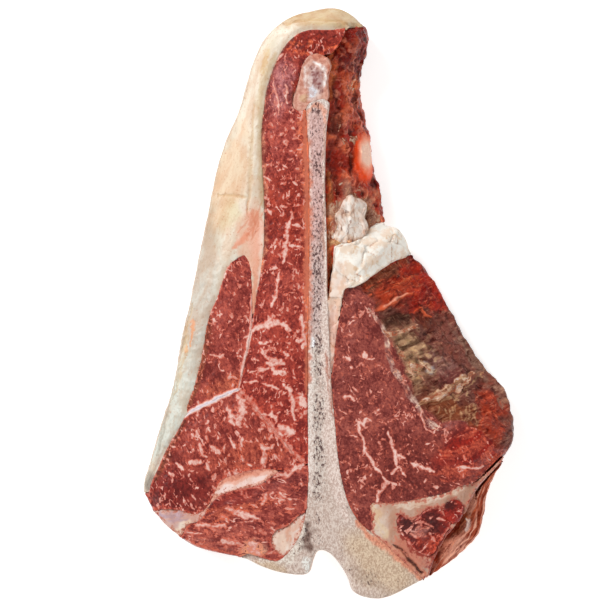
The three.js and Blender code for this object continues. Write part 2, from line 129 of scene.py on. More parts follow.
class Carving:
    """A finely remeshed copy of one CAD node, carved and painted point by point, in mm."""

    def __init__(self, node, pitch=WALL_MESH):
        self.node = node
        self.mesh = self.remeshed(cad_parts[node].data.copy(), pitch)
        self.level_facets()
        self.halve_pitch_on_top()
        self.measure()

    def remeshed(self, mesh, pitch):
        shell = bmesh.new()
        shell.from_mesh(mesh)
        bmesh.ops.remove_doubles(shell, verts=shell.verts, dist=0.001 * MM)
        shell.to_mesh(mesh)
        shell.free()
        rough = bpy.data.objects.new(self.node + "_rough", mesh)
        bpy.context.collection.objects.link(rough)
        remesh = rough.modifiers.new("Remesh", "REMESH")
        remesh.mode = "VOXEL"
        remesh.voxel_size = pitch * MM
        depsgraph = bpy.context.evaluated_depsgraph_get()
        fine = bpy.data.meshes.new_from_object(rough.evaluated_get(depsgraph))
        bpy.data.objects.remove(rough)
        return fine

    def read(self):
        count = len(self.mesh.vertices)
        points = np.empty(count * 3, np.float32)
        normals = np.empty(count * 3, np.float32)
        pairs = np.empty(len(self.mesh.edges) * 2, np.int32)
        self.mesh.vertices.foreach_get("co", points)
        self.mesh.vertices.foreach_get("normal", normals)
        self.mesh.edges.foreach_get("vertices", pairs)
        self.points = points.reshape(-1, 3).astype(float) / MM
        self.normals = normals.reshape(-1, 3).astype(float)
        self.pairs = pairs.reshape(-1, 2)
        self.top = self.normals[:, 2] > 0.35

    def write(self):
        self.mesh.vertices.foreach_set("co", (self.points * MM).astype(np.float32).ravel())
        self.mesh.update()

    def ease(self, chosen, axes, rounds):
        """Moves each chosen point towards the mean of its chosen neighbours."""
        pairs = self.pairs[chosen[self.pairs].all(axis=1)]
        here = np.concatenate([pairs[:, 0], pairs[:, 1]])
        there = np.concatenate([pairs[:, 1], pairs[:, 0]])
        count = np.bincount(here, minlength=len(self.points))
        linked = count > 0
        for _ in range(rounds):
            for axis in axes:
                column = self.points[:, axis]
                total = np.bincount(here, weights=column[there], minlength=len(column))
                column[linked] += 0.5 * (total[linked] / count[linked] - column[linked])

    def level_facets(self):
        """Rounds off the facets of the solid, and closes the saw-thin gaps to its neighbours."""
        self.read()
        gap = gap_to_neighbours(self.node, self.points)
        wall = np.abs(self.normals[:, 2]) < 0.9
        self.ease(self.top, (2,), 60)
        self.ease((gap > 1.2) & wall & (self.points[:, 2] > 2.5), (0, 1, 2), 8)
        seam = gap <= 1.2
        self.points += 0.3 * seam[:, None] * self.normals * (1, 1, 0)
        away = flat_distance(self.points, seam & ~self.top & (self.points[:, 2] > CUT_FACE / 3))
        reach = SEAM_REACH if (self.top & (away > SEAM_REACH)).sum() > 300 else SEAM_REACH / 3
        inner, edge = self.top & (away > reach), self.top & (away <= reach)
        self.points[edge, 2] = self.points[inner, 2][flat_nearest(self.points[edge],
                                                                 self.points[inner])[0]]
        self.ease(self.top, (2,), 8)
        self.write()

    def halve_pitch_on_top(self):
        shell = bmesh.new()
        shell.from_mesh(self.mesh)
        lid = [face for face in shell.faces if face.normal.z > 0.35]
        edges = list({edge for face in lid for edge in face.edges})
        bmesh.ops.subdivide_edges(shell, edges=edges, cuts=1, use_grid_fill=True)
        shell.to_mesh(self.mesh)
        shell.free()
        self.read()
        self.ease(self.top, (2,), 6)
        self.write()
        self.read()

    def measure(self):
        """Distance of each point from the piece's own side, and its colour before painting."""
        self.rim = flat_distance(self.points, ~self.top & (self.points[:, 2] > CUT_FACE / 3))
        self.tint = np.ones((len(self.points), 3))
        self.fat = np.zeros(len(self.points))
        self.calm = np.zeros(len(self.points))
        broad, fine = [[self.grain(size, seed) for seed in (61, 62)] for size in (4.5, 1.5)]
        self.bend = 1.3 * np.array(broad).T + 0.45 * np.array(fine).T
        self.bend *= 1 + np.clip(CUT_FACE - 3 - self.points[:, 2:], 0, 40) / 6

    def grain(self, size, seed=0, stretch=(1, 1, 1), degrees=0):
        """Smooth random values, about -1 to 1, in lumps of the given size and stretch."""
        c, s = math.cos(math.radians(degrees)), math.sin(math.radians(degrees))
        turned = self.points @ np.array([[c, -s, 0], [s, c, 0], [0, 0, 1]])
        shift = Vector((seed * 31.7, seed * 12.9, seed * 7.3))
        return np.array([noise.noise(Vector(p) + shift)
                         for p in turned / (np.array(stretch) * size)])

    def near(self, lines, ragged=0.0, bend=1.0, seed=5):
        """1 along the given lines, fading out past their frayed edges. A line is width, x, y, ..."""
        mask = np.zeros(len(self.points))
        flat = self.points[:, :2] + bend * self.bend
        fray = ragged * self.grain(1.3, seed)
        swell = 1 + 0.6 * self.grain(2.8, seed + 1)
        for width, *numbers in lines:
            stops = np.array(numbers).reshape(-1, 2)
            reach = width * 2 + 2
            inside = (flat > stops.min(0) - reach).all(1) & (flat < stops.max(0) + reach).all(1)
            here = flat[inside]
            if not len(here):
                continue
            best = np.full(len(here), 1e9)
            legs = len(stops) - 1
            for leg in range(legs):
                a, b = stops[leg], stops[leg + 1]
                along = np.clip((here - a) @ (b - a) / max((b - a) @ (b - a), 1e-9), 0, 1)
                apart = np.linalg.norm(here - a - along[:, None] * (b - a), axis=1)
                taper = 0.45 + 0.55 * np.sin(np.pi * (leg + along) / legs).clip(0) ** 0.5
                best = np.minimum(best, apart / (taper * width / 2))
            level = np.clip(1.4 - 0.7 * best / swell[inside] + fray[inside], 0, 1)
            mask[inside] = np.maximum(mask[inside], level)
        return mask

    def warp(self, size, reach, seed):
        """Pushes the whole piece outwards a little and bends its outline sideways."""
        self.points += 0.6 * self.normals * (1, 1, 0)
        shift = np.array([self.grain(size, seed + k, (1, 1, 4)) for k in (0, 1)]).T
        self.points[:, :2] += reach * shift

    def depth(self, start, width):
        """1 near the cut face, falling to 0 below a start in mm under it."""
        return np.clip(1 - (CUT_FACE - start - self.points[:, 2]) / width, 0, 1)

    def patch(self, x, y, rx, ry, degrees=0.0, ragged=0.3, seed=9):
        """1 inside an uneven oval of the given half lengths, falling to 0 outside."""
        turn = math.radians(degrees)
        dx, dy = (self.points[:, :2] + self.bend - (x, y)).T
        u = (dx * math.cos(turn) + dy * math.sin(turn)) / rx
        v = (dy * math.cos(turn) - dx * math.sin(turn)) / ry
        apart = np.hypot(u, v) + ragged * self.grain(min(rx, ry) * 0.8, seed)
        level = np.clip((1.45 - apart) / 0.9, 0, 1) * (np.hypot(u, v) < 2)
        return level * level * (3 - 2 * level)

    def border(self, width, ragged=0.5, seed=21):
        """1 at the edge of the upper face, falling to 0 a width in mm further in."""
        return self.top * np.clip(1 - self.rim / width + ragged * self.grain(1.8, seed), 0, 1)

    def paint(self, hex_colour, mask=1.0):
        colour = np.array(linear(hex_colour)[:3])
        share = np.broadcast_to(mask, len(self.points))[:, None]
        self.tint = self.tint * (1 - share) + colour * share

    def raise_by(self, height):
        """Moves the points outwards by a height in mm, but not on the foot."""
        free = np.clip(self.points[:, 2] / 3 - 0.2, 0, 1) * (self.normals[:, 2] > -0.3)
        self.points += (height * free)[:, None] * self.normals

    def finish(self, material, side_material=None, side=None):
        """Writes the carved mesh as a piece that stands for the CAD node."""
        self.write()
        for name, values in (("fat", self.fat), ("calm", self.calm)):
            layer = self.mesh.attributes.new(name, "FLOAT", "POINT")
            layer.data.foreach_set("value", values.astype(np.float32))
        layer = self.mesh.attributes.new("tint", "FLOAT_COLOR", "POINT")
        rgba = np.hstack([self.tint, np.ones((len(self.tint), 1))])
        layer.data.foreach_set("color", rgba.astype(np.float32).ravel())
        self.mesh.materials.clear()
        self.mesh.materials.append(material)
        if side_material:
            self.mesh.materials.append(side_material)
            for face in self.mesh.polygons:
                face.material_index = int(side[face.vertices[0]] > 0.5)
        self.mesh.polygons.foreach_set("use_smooth", [True] * len(self.mesh.polygons))
        piece = bpy.data.objects.new("dressed_" + self.node, self.mesh)
        bpy.context.collection.objects.link(piece)
        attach(piece, "root")
        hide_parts(self.node)
        return piece


def stray_flecks(seed, count, box, length, width, heading, spread):
    """Short bent threads of fat strewn over a box (x, y, x, y), most of them near one heading."""
    draw = random.Random(seed)
    flecks = []
    for _ in range(count):
        x, y = draw.uniform(box[0], box[2]), draw.uniform(box[1], box[3])
        reach = draw.uniform(0.5, 1.0) * length
        turn = math.radians(draw.gauss(heading, spread))
        bend = turn + draw.gauss(0, 0.6)
        middle = (x + reach / 2 * math.cos(turn), y + reach / 2 * math.sin(turn))
        end = (middle[0] + reach / 2 * math.cos(bend), middle[1] + reach / 2 * math.sin(bend))
        flecks.append((draw.uniform(0.5, 1.0) * width, x, y, *middle, *end))
    return flecks


def strands(seed, count, spread, width, *stops):
    """Thin fibres that lie beside one another along a route of x, y stops."""
    draw = random.Random(seed)
    route = np.array(stops).reshape(-1, 2)
    legs = len(route) - 1
    fibres = []
    for _ in range(count):
        start = draw.uniform(0, 0.7) * legs
        end = min(legs, start + draw.uniform(0.2, 0.6) * legs)
        aside = (draw.gauss(0, spread), draw.gauss(0, spread))
        fibre = [draw.uniform(0.6, 1.2) * width]
        for stop in np.linspace(start, end, 4):
            for axis in (0, 1):
                here = np.interp(stop, range(legs + 1), route[:, axis])
                fibre.append(here + aside[axis] + draw.gauss(0, 0.2 * spread))
        fibres.append(tuple(fibre))
    return fibres


def flat_nearest(points, others):
    """For each point, seen from above, the index of the nearest other and its distance."""
    tree = kdtree.KDTree(len(others))
    for i, (x, y, _) in enumerate(others):
        tree.insert((x, y, 0), i)
    tree.balance()
    found = [tree.find((x, y, 0)) for x, y, _ in points]
    return np.array([f[1] for f in found], int), np.array([f[2] for f in found])


def flat_distance(points, chosen):
    """Distance in mm, seen from above, from each point to the nearest chosen one."""
    return flat_nearest(points, points[chosen])[1] if chosen.any() else np.full(len(points), 99.0)


def gap_to_neighbours(node, points):
    """Distance in mm from each point to the nearest other node of the steak."""
    vertices, triangles = [], []
    for name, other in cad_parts.items():
        if name == node:
            continue
        offset = len(vertices)
        vertices += [v.co / MM for v in other.data.vertices]
        triangles += [[offset + i for i in face.vertices] for face in other.data.polygons]
    others = BVHTree.FromPolygons(vertices, triangles)
    near = [others.find_nearest(Vector(p), 8.0)[3] for p in points]
    return np.array([8.0 if d is None else d for d in near])


def in_millimetres(tree, stretch=(1, 1, 1), degrees=0):
    """The point of the piece in mm, in a turned frame and divided by a stretch along each axis."""
    place = add(tree, "TexCoord").outputs["Object"]
    inputs = {"Vector": place, "Rotation": (0, 0, math.radians(degrees)),
              "Scale": [MM * s for s in stretch]}
    return add(tree, "Mapping", inputs, vector_type="TEXTURE").outputs["Vector"]


def speckle(tree, place, size, seed, detail=4.0, roughness=0.65, distortion=0.0):
    """Noise, about 0.3 to 0.7, in lumps of the given size."""
    inputs = {"Vector": place, "W": float(seed), "Scale": 1 / size, "Detail": detail,
              "Roughness": roughness, "Distortion": distortion}
    return add(tree, "TexNoise", inputs, noise_dimensions="4D").outputs["Fac"]


def attribute(tree, name, output="Fac"):
    return add(tree, "Attribute", attribute_name=name).outputs[output]


def between(tree, value, low, high):
    """0 where the value is at low, 1 where it is at high, and smooth in between."""
    inputs = {"Value": value, "From Min": low, "From Max": high}
    return add(tree, "MapRange", inputs, interpolation_type="SMOOTHSTEP").outputs["Result"]


def blend(tree, share, first, second, how="MIX"):
    """Mixes two colours."""
    node = add(tree, "Mix", {0: share, 6: first, 7: second}, data_type="RGBA", blend_type=how)
    return node.outputs[2]


def blend_values(tree, share, first, second):
    """Mixes two numbers."""
    return add(tree, "Mix", {0: share, 2: first, 3: second}).outputs[0]


def maths(tree, operation, *values):
    return add(tree, "Math", dict(enumerate(values)), operation=operation).outputs["Value"]


def new_material(name):
    material = bpy.data.materials.new(name)
    material.use_nodes = True
    return material, material.node_tree, material.node_tree.nodes["Principled BSDF"]


def spongy_bone():
    """Sawn cancellous bone: pale struts round dark marrow in long pores, under a dense shell
    with none. Saw dust and fine saw marks make it matt."""
    material, tree, skin = new_material("sawn cancellous bone")
    tint = attribute(tree, "tint", "Color")
    marrow = attribute(tree, "fat")
    calm = attribute(tree, "calm")
    pores = speckle(tree, in_millimetres(tree, (1, 1.8, 2)), 0.95, 1, 3.0, 0.7)
    struts = speckle(tree, in_millimetres(tree, (1, 1.4, 2)), 0.7, 2, 3.0, 0.7)
    cloud = speckle(tree, in_millimetres(tree), 5.0, 3)
    share = maths(tree, "MULTIPLY_ADD", cloud, 0.5, pores)
    share = maths(tree, "MULTIPLY_ADD", marrow, -0.13, share)
    pale = blend(tree, 1.0, tint, (1.22, 1.28, 1.30, 1), "MULTIPLY")
    dull = blend(tree, 1.0, tint, (0.83, 0.75, 0.72, 1), "MULTIPLY")
    dark = blend(tree, 1.0, tint, (0.18, 0.11, 0.11, 1), "MULTIPLY")
    ground = blend(tree, between(tree, struts, 0.42, 0.58), dull, pale)
    ground = blend(tree, calm, ground, tint)
    colour = blend(tree, between(tree, share, 0.565, 0.66), dark, ground)
    tree.links.new(colour, skin.inputs["Base Color"])
    skin.inputs["Roughness"].default_value = 0.55
    bump = add(tree, "Bump", {"Height": share, "Strength": 0.6, "Distance": 0.4 * MM})
    tree.links.new(bump.outputs["Normal"], skin.inputs["Normal"])
    return material


PINK_SKIN = [(2.6, -11.2, 86, -10.6, 74, -9.6, 62, -9.0, 40, -9.0, 10, -9.4, -12, -9.2, -40)]
bone = Carving("t_bone")
core = np.clip((bone.rim - 0.7) / 0.8, 0, 1)
bone.paint(0xC7B3A7)
bone.paint(0xCBA59E, bone.patch(-5, 55, 6, 40))
bone.paint(0xC3A9A2, bone.patch(-5, 0, 5, 22))
bone.paint(0xC5B5AA, bone.patch(-5, -50, 5, 34))
bone.paint(0xD6C1B6, bone.near([(4.6, -1.6, 0, -1.2, -30, 0.6, -60, 3.6, -80, 8, -94)], 0.2))
bone.paint(0xD6C6BC, bone.near([(2.6, -7.8, -20, -7.8, -60, -7.8, -84)], 0.2))
bone.paint(0xC6AC92, bone.patch(24, -114, 18, 12, -40))
bone.paint(0xA8907E, 0.5 * bone.patch(18, -121, 9, 3, -30, 0.8))
bone.paint(0x6C4E42, 0.95 * bone.patch(-11.6, -101, 4, 8, 14, 0.8))
bone.paint(0xD1C3B6, bone.near([(2.8, -30, -113.6, -22, -115, -17, -112, -13, -106, -11, -98)]))
bone.paint(0xC2A88F, bone.patch(-26, -116.5, 8, 2.5, -10))
bone.paint(0xDAD4CC, bone.near([(3.0, -10, -112, -8.4, -119)]))
bone.paint(0xDDCBC0, (1 - core) * bone.patch(-5, 30, 7, 60))
bone.paint(0xC7755C, bone.near(PINK_SKIN, 0.5))
bone.paint(0xD0876A, bone.near([(2.4, 12, -96, 18, -102, 25, -107, 33, -114, 41, -121)], 0.5))
bone.paint(0xD6C8C0, bone.patch(-5, 88, 5, 2.2))
bone.paint(0xDB9F89, bone.near([(1.6, -9.6, 78, -9.4, 84.5, -7, 87, -4, 87, -1.6, 85, -1, 78)], 0.4))
bone.paint(0xEAE8E8, bone.near([(1.3, -6.9, -14.5, -6.6, -17, -6.3, -19.5)], 0.3))
bone.paint(0xB0715C, 0.8 * bone.near(strands(31, 9, 0.5, 0.6, -0.6, -20, 0.6, -38, 2, -50), 0.5))
bone.paint(0xB98A78, 0.7 * bone.near(strands(32, 12, 0.4, 0.6, -1.4, 80, -2, 55, -1.8, 20), 0.5))
bone.fat = 0.9 * bone.patch(-5, 42, 3.4, 52) + 0.9 * bone.patch(-4.6, -48, 2.4, 58)
bone.fat += 0.9 * bone.patch(-12, -100, 4, 9, 14, 0.6) + 0.4 * bone.patch(17, -120, 9, 4, -30)
bone.fat = np.clip(bone.fat, 0, 1) * core - 0.3
side_wall = 1.0 * ~bone.top
bone.paint(0xD7C3B6, 0.7 * side_wall)
bone.paint(0xCD937F, 0.6 * side_wall * np.clip(bone.grain(7, 12, (1, 1, 2)), 0, 1))
bone.calm = 0.75 * side_wall
bone.fat -= 1.2 * side_wall
bone.raise_by(0.12 * bone.grain(1.1) * core + 0.12 * bone.grain(7, 2))
bone.finish(spongy_bone())

# Gristly tip of the bone
# The unhardened end of the side process: bluish-white cartilage with a red core, wrapped in pink
# connective tissue that is torn along its left edge.

def connective_tissue():
    """Moist cartilage and its pink wrapping: pale, with wet highlights."""
    material, tree, skin = new_material("wet cartilage")
    mm = in_millimetres(tree)
    tint = attribute(tree, "tint", "Color")
    cloud = speckle(tree, mm, 1.8, 4)
    light = blend(tree, 1.0, tint, (1.10, 1.16, 1.18, 1), "MULTIPLY")
    red = blend(tree, 1.0, tint, (0.80, 0.62, 0.58, 1), "MULTIPLY")
    colour = blend(tree, between(tree, cloud, 0.38, 0.60), red, light)
    tree.links.new(colour, skin.inputs["Base Color"])
    skin.inputs["Roughness"].default_value = 0.3
    bump = add(tree, "Bump", {"Height": cloud, "Strength": 0.4, "Distance": 0.4 * MM})
    tree.links.new(bump.outputs["Normal"], skin.inputs["Normal"])
    return material


tip = Carving("bone_tip")
tip.paint(0xD29B87)
tip.paint(0xD6BDB4, tip.patch(-6, 97, 3.6, 8))
tip.paint(0xB08A86, 0.9 * tip.patch(-5, 99, 2.2, 4.8, 6, 0.5))
TIP_SPOTS = stray_flecks(86, 16, (-8, 92, -3, 104), 1.8, 0.8, 75, 50)
tip.paint(0x84423E, 0.8 * tip.near(TIP_SPOTS, 0.6, 0.5))
tip.paint(0xDCDEE4, 0.9 * tip.patch(-7.6, 93, 1.7, 2.8, -20, 0.5))
# Painted highlight: a near-white line of shine along the raised upper and right edge of the tip.
tip.paint(0xF0E6E0, tip.near([(1.0, -6.6, 106, -4, 105.2, -1.9, 102.6, -1.4, 99.4, -1.9, 95)], 0.3, 0.4))
tip.paint(0xE6D6CE, 0.8 * tip.near([(0.8, -10.2, 104, -10.4, 95)], 0.4, 0.4))
tip.paint(0xC9A27C, 0.7 * tip.patch(-11, 90.6, 1.6, 1.6))
tip.paint(0xC97A60, 0.8 * tip.patch(-4.4, 109, 4, 1.6))
tip.paint(0xBE6A50, 0.8 * tip.near([(1.2, -0.6, 106, 0.4, 100, 0.2, 94)], 0.6))
tip.raise_by(0.3 * tip.grain(2.6) + 0.15 * tip.grain(1.2, 4))
tip.finish(connective_tissue())

# Strip muscles
# The tail, side, eye and chine muscles of the strip, cut across the grain: red bundles of fibre
# between threads of fat, with the moist sheen of a fresh cut.


def cut_muscle(name, along=(1, 1, 4), degrees=0, flecks=0.9, threads=0.95, spacing=5.0):
    """Raw beef cut across the grain. The fibre bundles show as a fine maroon and red grain, and
    fat lies in it as soft flecks and broken threads, each in a ring of brighter orange red."""
    material, tree, skin = new_material(name)
    mm = in_millimetres(tree, (1, 1, 4))
    drawn = in_millimetres(tree, along, degrees)
    tint = attribute(tree, "tint", "Color")
    laid_fat_and_glints = attribute(tree, "fat")
    grain = blend_values(tree, 0.5, speckle(tree, mm, 0.9, 5, 4.0, 0.75),
                         speckle(tree, drawn, 1.1, 6, 4.0, 0.75))
    broad = speckle(tree, mm, 7.0, 7, 2.0)
    shade = maths(tree, "MULTIPLY_ADD", broad, 0.35, grain)
    calm = attribute(tree, "calm")
    shade = blend_values(tree, calm, shade, 0.68)
    busy = maths(tree, "SUBTRACT", 1.0, calm)
    deep = blend(tree, 1.0, tint, (0.50, 0.28, 0.30, 1), "MULTIPLY")
    bright = blend(tree, 1.0, tint, (1.45, 2.00, 1.90, 1), "MULTIPLY")
    lean = blend(tree, between(tree, shade, 0.61, 0.69), deep, tint)
    lean = blend(tree, between(tree, shade, 0.70, 0.78), lean, bright)
    spots = between(tree, speckle(tree, drawn, 2.1, 8, 3.0, 0.6, 0.8), 0.55, 0.70)
    contour = speckle(tree, drawn, spacing, 9, 2.5, 0.6, 0.5)
    contour = maths(tree, "ABSOLUTE", maths(tree, "SUBTRACT", contour, 0.5))
    contour = between(tree, contour, 0.030, 0.008)
    contour = maths(tree, "MULTIPLY", contour,
                    between(tree, speckle(tree, mm, 3.6, 10, 2.0), 0.50, 0.62))
    fat = maths(tree, "MAXIMUM", maths(tree, "MULTIPLY", spots, flecks),
                maths(tree, "MULTIPLY", contour, threads))
    fat = maths(tree, "MAXIMUM", maths(tree, "MULTIPLY", fat, busy), laid_fat_and_glints)
    fat = maths(tree, "MULTIPLY_ADD", maths(tree, "SUBTRACT", shade, 0.675), 2.4, fat)
    ring = blend(tree, 1.0, tint, (1.60, 1.55, 1.15, 1), "MULTIPLY")
    colour = blend(tree, between(tree, fat, 0.15, 0.40), lean, ring)
    colour = blend(tree, between(tree, fat, 0.30, 0.80), colour, linear(0xCC7564))
    colour = blend(tree, between(tree, fat, 0.62, 1.32), colour, linear(0xECC6BA))
    colour = blend(tree, between(tree, fat, 1.25, 1.60), colour, linear(0xDCCFD6))
    tree.links.new(colour, skin.inputs["Base Color"])
    skin.inputs["Roughness"].default_value = 0.34
    skin.inputs["Specular IOR Level"].default_value = 0.35
    bump = add(tree, "Bump", {"Height": grain, "Strength": 0.5, "Distance": 0.5 * MM})
    tree.links.new(bump.outputs["Normal"], skin.inputs["Normal"])
    return material


tail_beef = cut_muscle("raw strip tail", (1, 1.6, 4), 0)
strip_beef = cut_muscle("raw strip loin", (1, 2.0, 4), 20)
chine_beef = cut_muscle("raw chine muscle", (2.6, 1, 4), -14)
SILVER_SKIN = [
    (1.8, -66, -50.6, -62, -48.6, -56, -45.4, -50, -42.3, -44, -39.6, -38.6, -37.4),
    (1.3, -34, 4, -33.6, -4, -34.2, -13, -36.4, -22, -38, -30, -39.4, -37),
]
DIAGONAL = [(2.4, -39.4, -37, -34.4, -43, -30, -48.6, -25, -54.6, -20, -60, -15, -66, -10, -70.4)]

tail = Carving("tail_muscle")
tail.paint(0x9C372B)
tail.paint(0xA24137, tail.patch(-20, 70, 12, 30))
tail.paint(0xA9524E, tail.patch(-20, 94, 6, 12, -10))
tail.paint(0x902616, tail.patch(-8, 114, 12, 5))
tail.paint(0xA8483C, 0.5 * tail.patch(-19, 6, 8, 9))
tail.paint(0x7C1F13, tail.near([(2.4, -11, 107, -13.4, 101, -14.6, 95, -17, 91, -21, 90)], 0.2))
tail.paint(0xCB654B, tail.near([(4.0, -11.4, 84, -10.6, 72, -9.8, 60, -9.2, 40, -9.2, 0)], 0.2))
tail.paint(0x9C3529, tail.patch(-20, -40, 16, 26, 30))
tail.paint(0xCC7A61, tail.near([(1.6, -29, 76, -28.6, 60, -27.8, 43, -28, 26, -29.4, 14)], 0.4))
tail.paint(0x962E1E, 0.9 * tail.patch(-20, 42, 9, 18))
tail.paint(0xB46E6E, 0.7 * tail.patch(-21, 96, 4, 10, -10, 0.6))
ORANGE_TOP = stray_flecks(83, 16, (-19, 108, 2, 116), 4, 1.4, 10, 30)
tail.paint(0xD6603E, 0.85 * tail.near(ORANGE_TOP, 0.5))
PURPLE_FURROWS = stray_flecks(87, 34, (-29, 84, -13, 105), 5, 0.9, -72, 20)
tail.paint(0x6E2A2C, 0.5 * tail.near(PURPLE_FURROWS, 0.6, 0.6))
tail.paint(0x5E120A, 0.7 * tail.near(stray_flecks(84, 14, (-19, 106, 4, 119), 4, 1.2, 20, 40), 0.5))
TAIL_SEAMS_AND_GLINTS = [
    # The marks at x -8.6 and x -3.4 near the top of the tail are painted highlights: white glints laid in as fat,
    # not seams.
    (1.0, -23, 107, -20, 109.6), (2.0, -8.6, 109.8, -6.8, 109.4), (1.4, -3.4, 108.6, -1.6, 107.6),
    (0.9, -24, 97, -22.6, 90, -22, 84), (0.8, -19, 96, -18, 88),
    (1.6, -16, 40, -18, 33, -19, 24, -19.6, 17),
    (1.3, -21.5, 14, -22.6, 8, -24, 2, -24.6, -2),
    (1.0, -16, 34.5, -13.5, 34, -11, 33.4), (1.0, -17, 25.6, -14, 25.2, -11, 25),
    (1.0, -28, 56, -25, 54), (0.9, -20.4, 61, -18, 60), (1.0, -15, 54, -13, 52),
    (1.0, -27, 42, -26.4, 40.6, -24.8, 39), (1.2, -26, 15, -22, 15.6),
    (2.2, -33, -12, -30, -10, -26, -8.5, -22, -8.3, -19, -9.6, -17, -12),
    (1.1, -31, -18, -28, -17.8, -26, -16.8), (1.2, -29.5, -20, -26, -24),
    (1.4, -35, -30.6, -30, -29.5, -26, -28), (3.0, -26.4, -26, -23, -25.6, -20, -26.6),
    (1.8, -25, -28, -21, -31), (1.2, -20, -21, -17, -23), (1.1, -37, -34.6, -31, -35),
    (1.2, -29, -35.6, -25, -35.8, -22, -37.6), (1.0, -33.4, -25, -31, -25),
    (2.0, -20, -35.4, -17, -39, -15, -44, -15, -51), (2.6, -13, -41, -10.4, -46),
    (1.6, -12, -5, -11, -12, -11, -20), (1.4, -14, -16, -11, -17),
    (3.2, -22, -54, -19, -56, -15, -57), (1.4, -30, -49, -26, -48.6, -23, -51),
]
# Fat seams, with the two painted highlights at the top of the tail among them.
tail.fat = 1.05 * tail.near(TAIL_SEAMS_AND_GLINTS, 0.8)
tail_flecks = stray_flecks(3, 130, (-30, -64, -10, 84), 2.6, 1.1, 20, 50)
tail.fat = np.maximum(tail.fat, 0.85 * tail.near(tail_flecks, 0.9))
tail.fat = np.maximum(tail.fat, 1.1 * tail.near(SILVER_SKIN, 0.3, 0.3))
tail.fat = np.maximum(tail.fat, 0.75 * tail.near(DIAGONAL, 1.0, 0.6))
left_edge = (tail.points[:, 0] < -15) & (tail.points[:, 1] > 20)
tail.fat = np.maximum(tail.fat, 0.5 * tail.border(1.0) * ~left_edge)
tail.paint(0x70402A, 0.75 * tail.border(1.3, 0.3) * left_edge)
membrane = tail.near([(1.8, -10.6, 84, -10.2, 72, -9.8, 60, -9.4, 40, -9.4, 0, -9.6, -40)], 0.1, 0.2)
tail.paint(0xC46B50, 0.8 * membrane)
tail.calm = 0.85 * membrane
tail.raise_by(0.14 * tail.grain(1.4) + 0.2 * tail.grain(6, 2) + 0.16 * tail.fat)
tail.finish(tail_beef)

side = Carving("side_muscle")
side.paint(0x9B3E34)
side.paint(0x93392E, side.patch(-53, -20, 5, 22, 10))
side.paint(0x914834, side.near([(2.4, -52, -6, -54, -16, -56, -27, -59, -38, -62, -47)], 0.4))
side.paint(0xB1523D, side.patch(-44, -36, 10, 4, 20))
SIDE_SEAMS = [
    (1.2, -43, -30, -43, -32, -40, -33), (1.0, -52, -23, -47, -24, -46, -22),
    (0.9, -38, -16, -35, -15),
]
side.fat = 1.0 * side.near(SIDE_SEAMS, 0.8)
side_flecks = stray_flecks(4, 60, (-60, -46, -34, 20), 2.2, 1.0, 60, 40)
side.fat = np.maximum(side.fat, 0.8 * side.near(side_flecks, 0.9))
side.fat = np.maximum(side.fat, 1.1 * side.near(SILVER_SKIN, 0.3, 0.3))
side.fat = np.maximum(side.fat, 1.6 * side.near(SILVER_SKIN[:1], 0.2, 0.3))
side.fat = np.maximum(side.fat, 1.3 * side.near([(1.6, -40, 24, -44, 20, -47.6, 11, -50, 2)], 0.8))
side.fat = np.maximum(side.fat, 0.5 * side.border(1.0))
side.raise_by(0.14 * side.grain(1.4, 3) + 0.2 * side.grain(6, 4) + 0.16 * side.fat)
side.finish(strip_beef)

eye = Carving("eye_muscle")
eye.paint(0x9C3E32)
eye.paint(0x7A211B, eye.patch(-66, -82, 14, 9, 0))
eye.paint(0xAA4937, eye.patch(-34, -66, 16, 6, 20))
eye.paint(0x7A392A, eye.near([(2.2, -64, -52, -68, -60, -72, -69, -76, -78)], 0.4))
EYE_SEAMS = [
    (1.8, -24, -76, -18, -75, -13, -72, -8, -69),
    (3.0, -40, -40, -38.2, -43, -38, -48, -40, -53), (1.6, -44, -46, -43, -50, -41.6, -54),
    (1.2, -57, -61, -55, -66, -53, -68), (2.0, -51, -63, -48, -66), (1.4, -43, -59, -41, -64),
    (1.2, -38, -59, -38, -63), (1.0, -53, -55, -52, -57), (1.3, -67, -71, -64, -73),
    (1.2, -61, -70, -58.6, -69.4, -56, -70), (1.2, -54, -71, -52, -74),
    (1.0, -51, -46, -50, -48), (2.0, -30, -62, -28, -65, -28, -72), (1.2, -24, -62, -28, -64),
]
eye.fat = 1.05 * eye.near(EYE_SEAMS, 0.8)
eye_flecks = stray_flecks(5, 110, (-76, -92, -14, -40), 2.8, 1.2, -65, 35)
eye.fat = np.maximum(eye.fat, 0.9 * eye.near(eye_flecks, 0.9))
eye.fat = np.maximum(eye.fat, 1.6 * eye.near(SILVER_SKIN[:1], 0.2, 0.3))
eye.fat = np.maximum(eye.fat, 0.75 * eye.near(DIAGONAL, 1.0, 0.6))
eye.fat = np.maximum(eye.fat, 0.6 * eye.border(1.5, 0.8))
eye.raise_by(0.14 * eye.grain(1.4, 5) + 0.2 * eye.grain(6, 6) + 0.16 * eye.fat)
eye.finish(strip_beef)

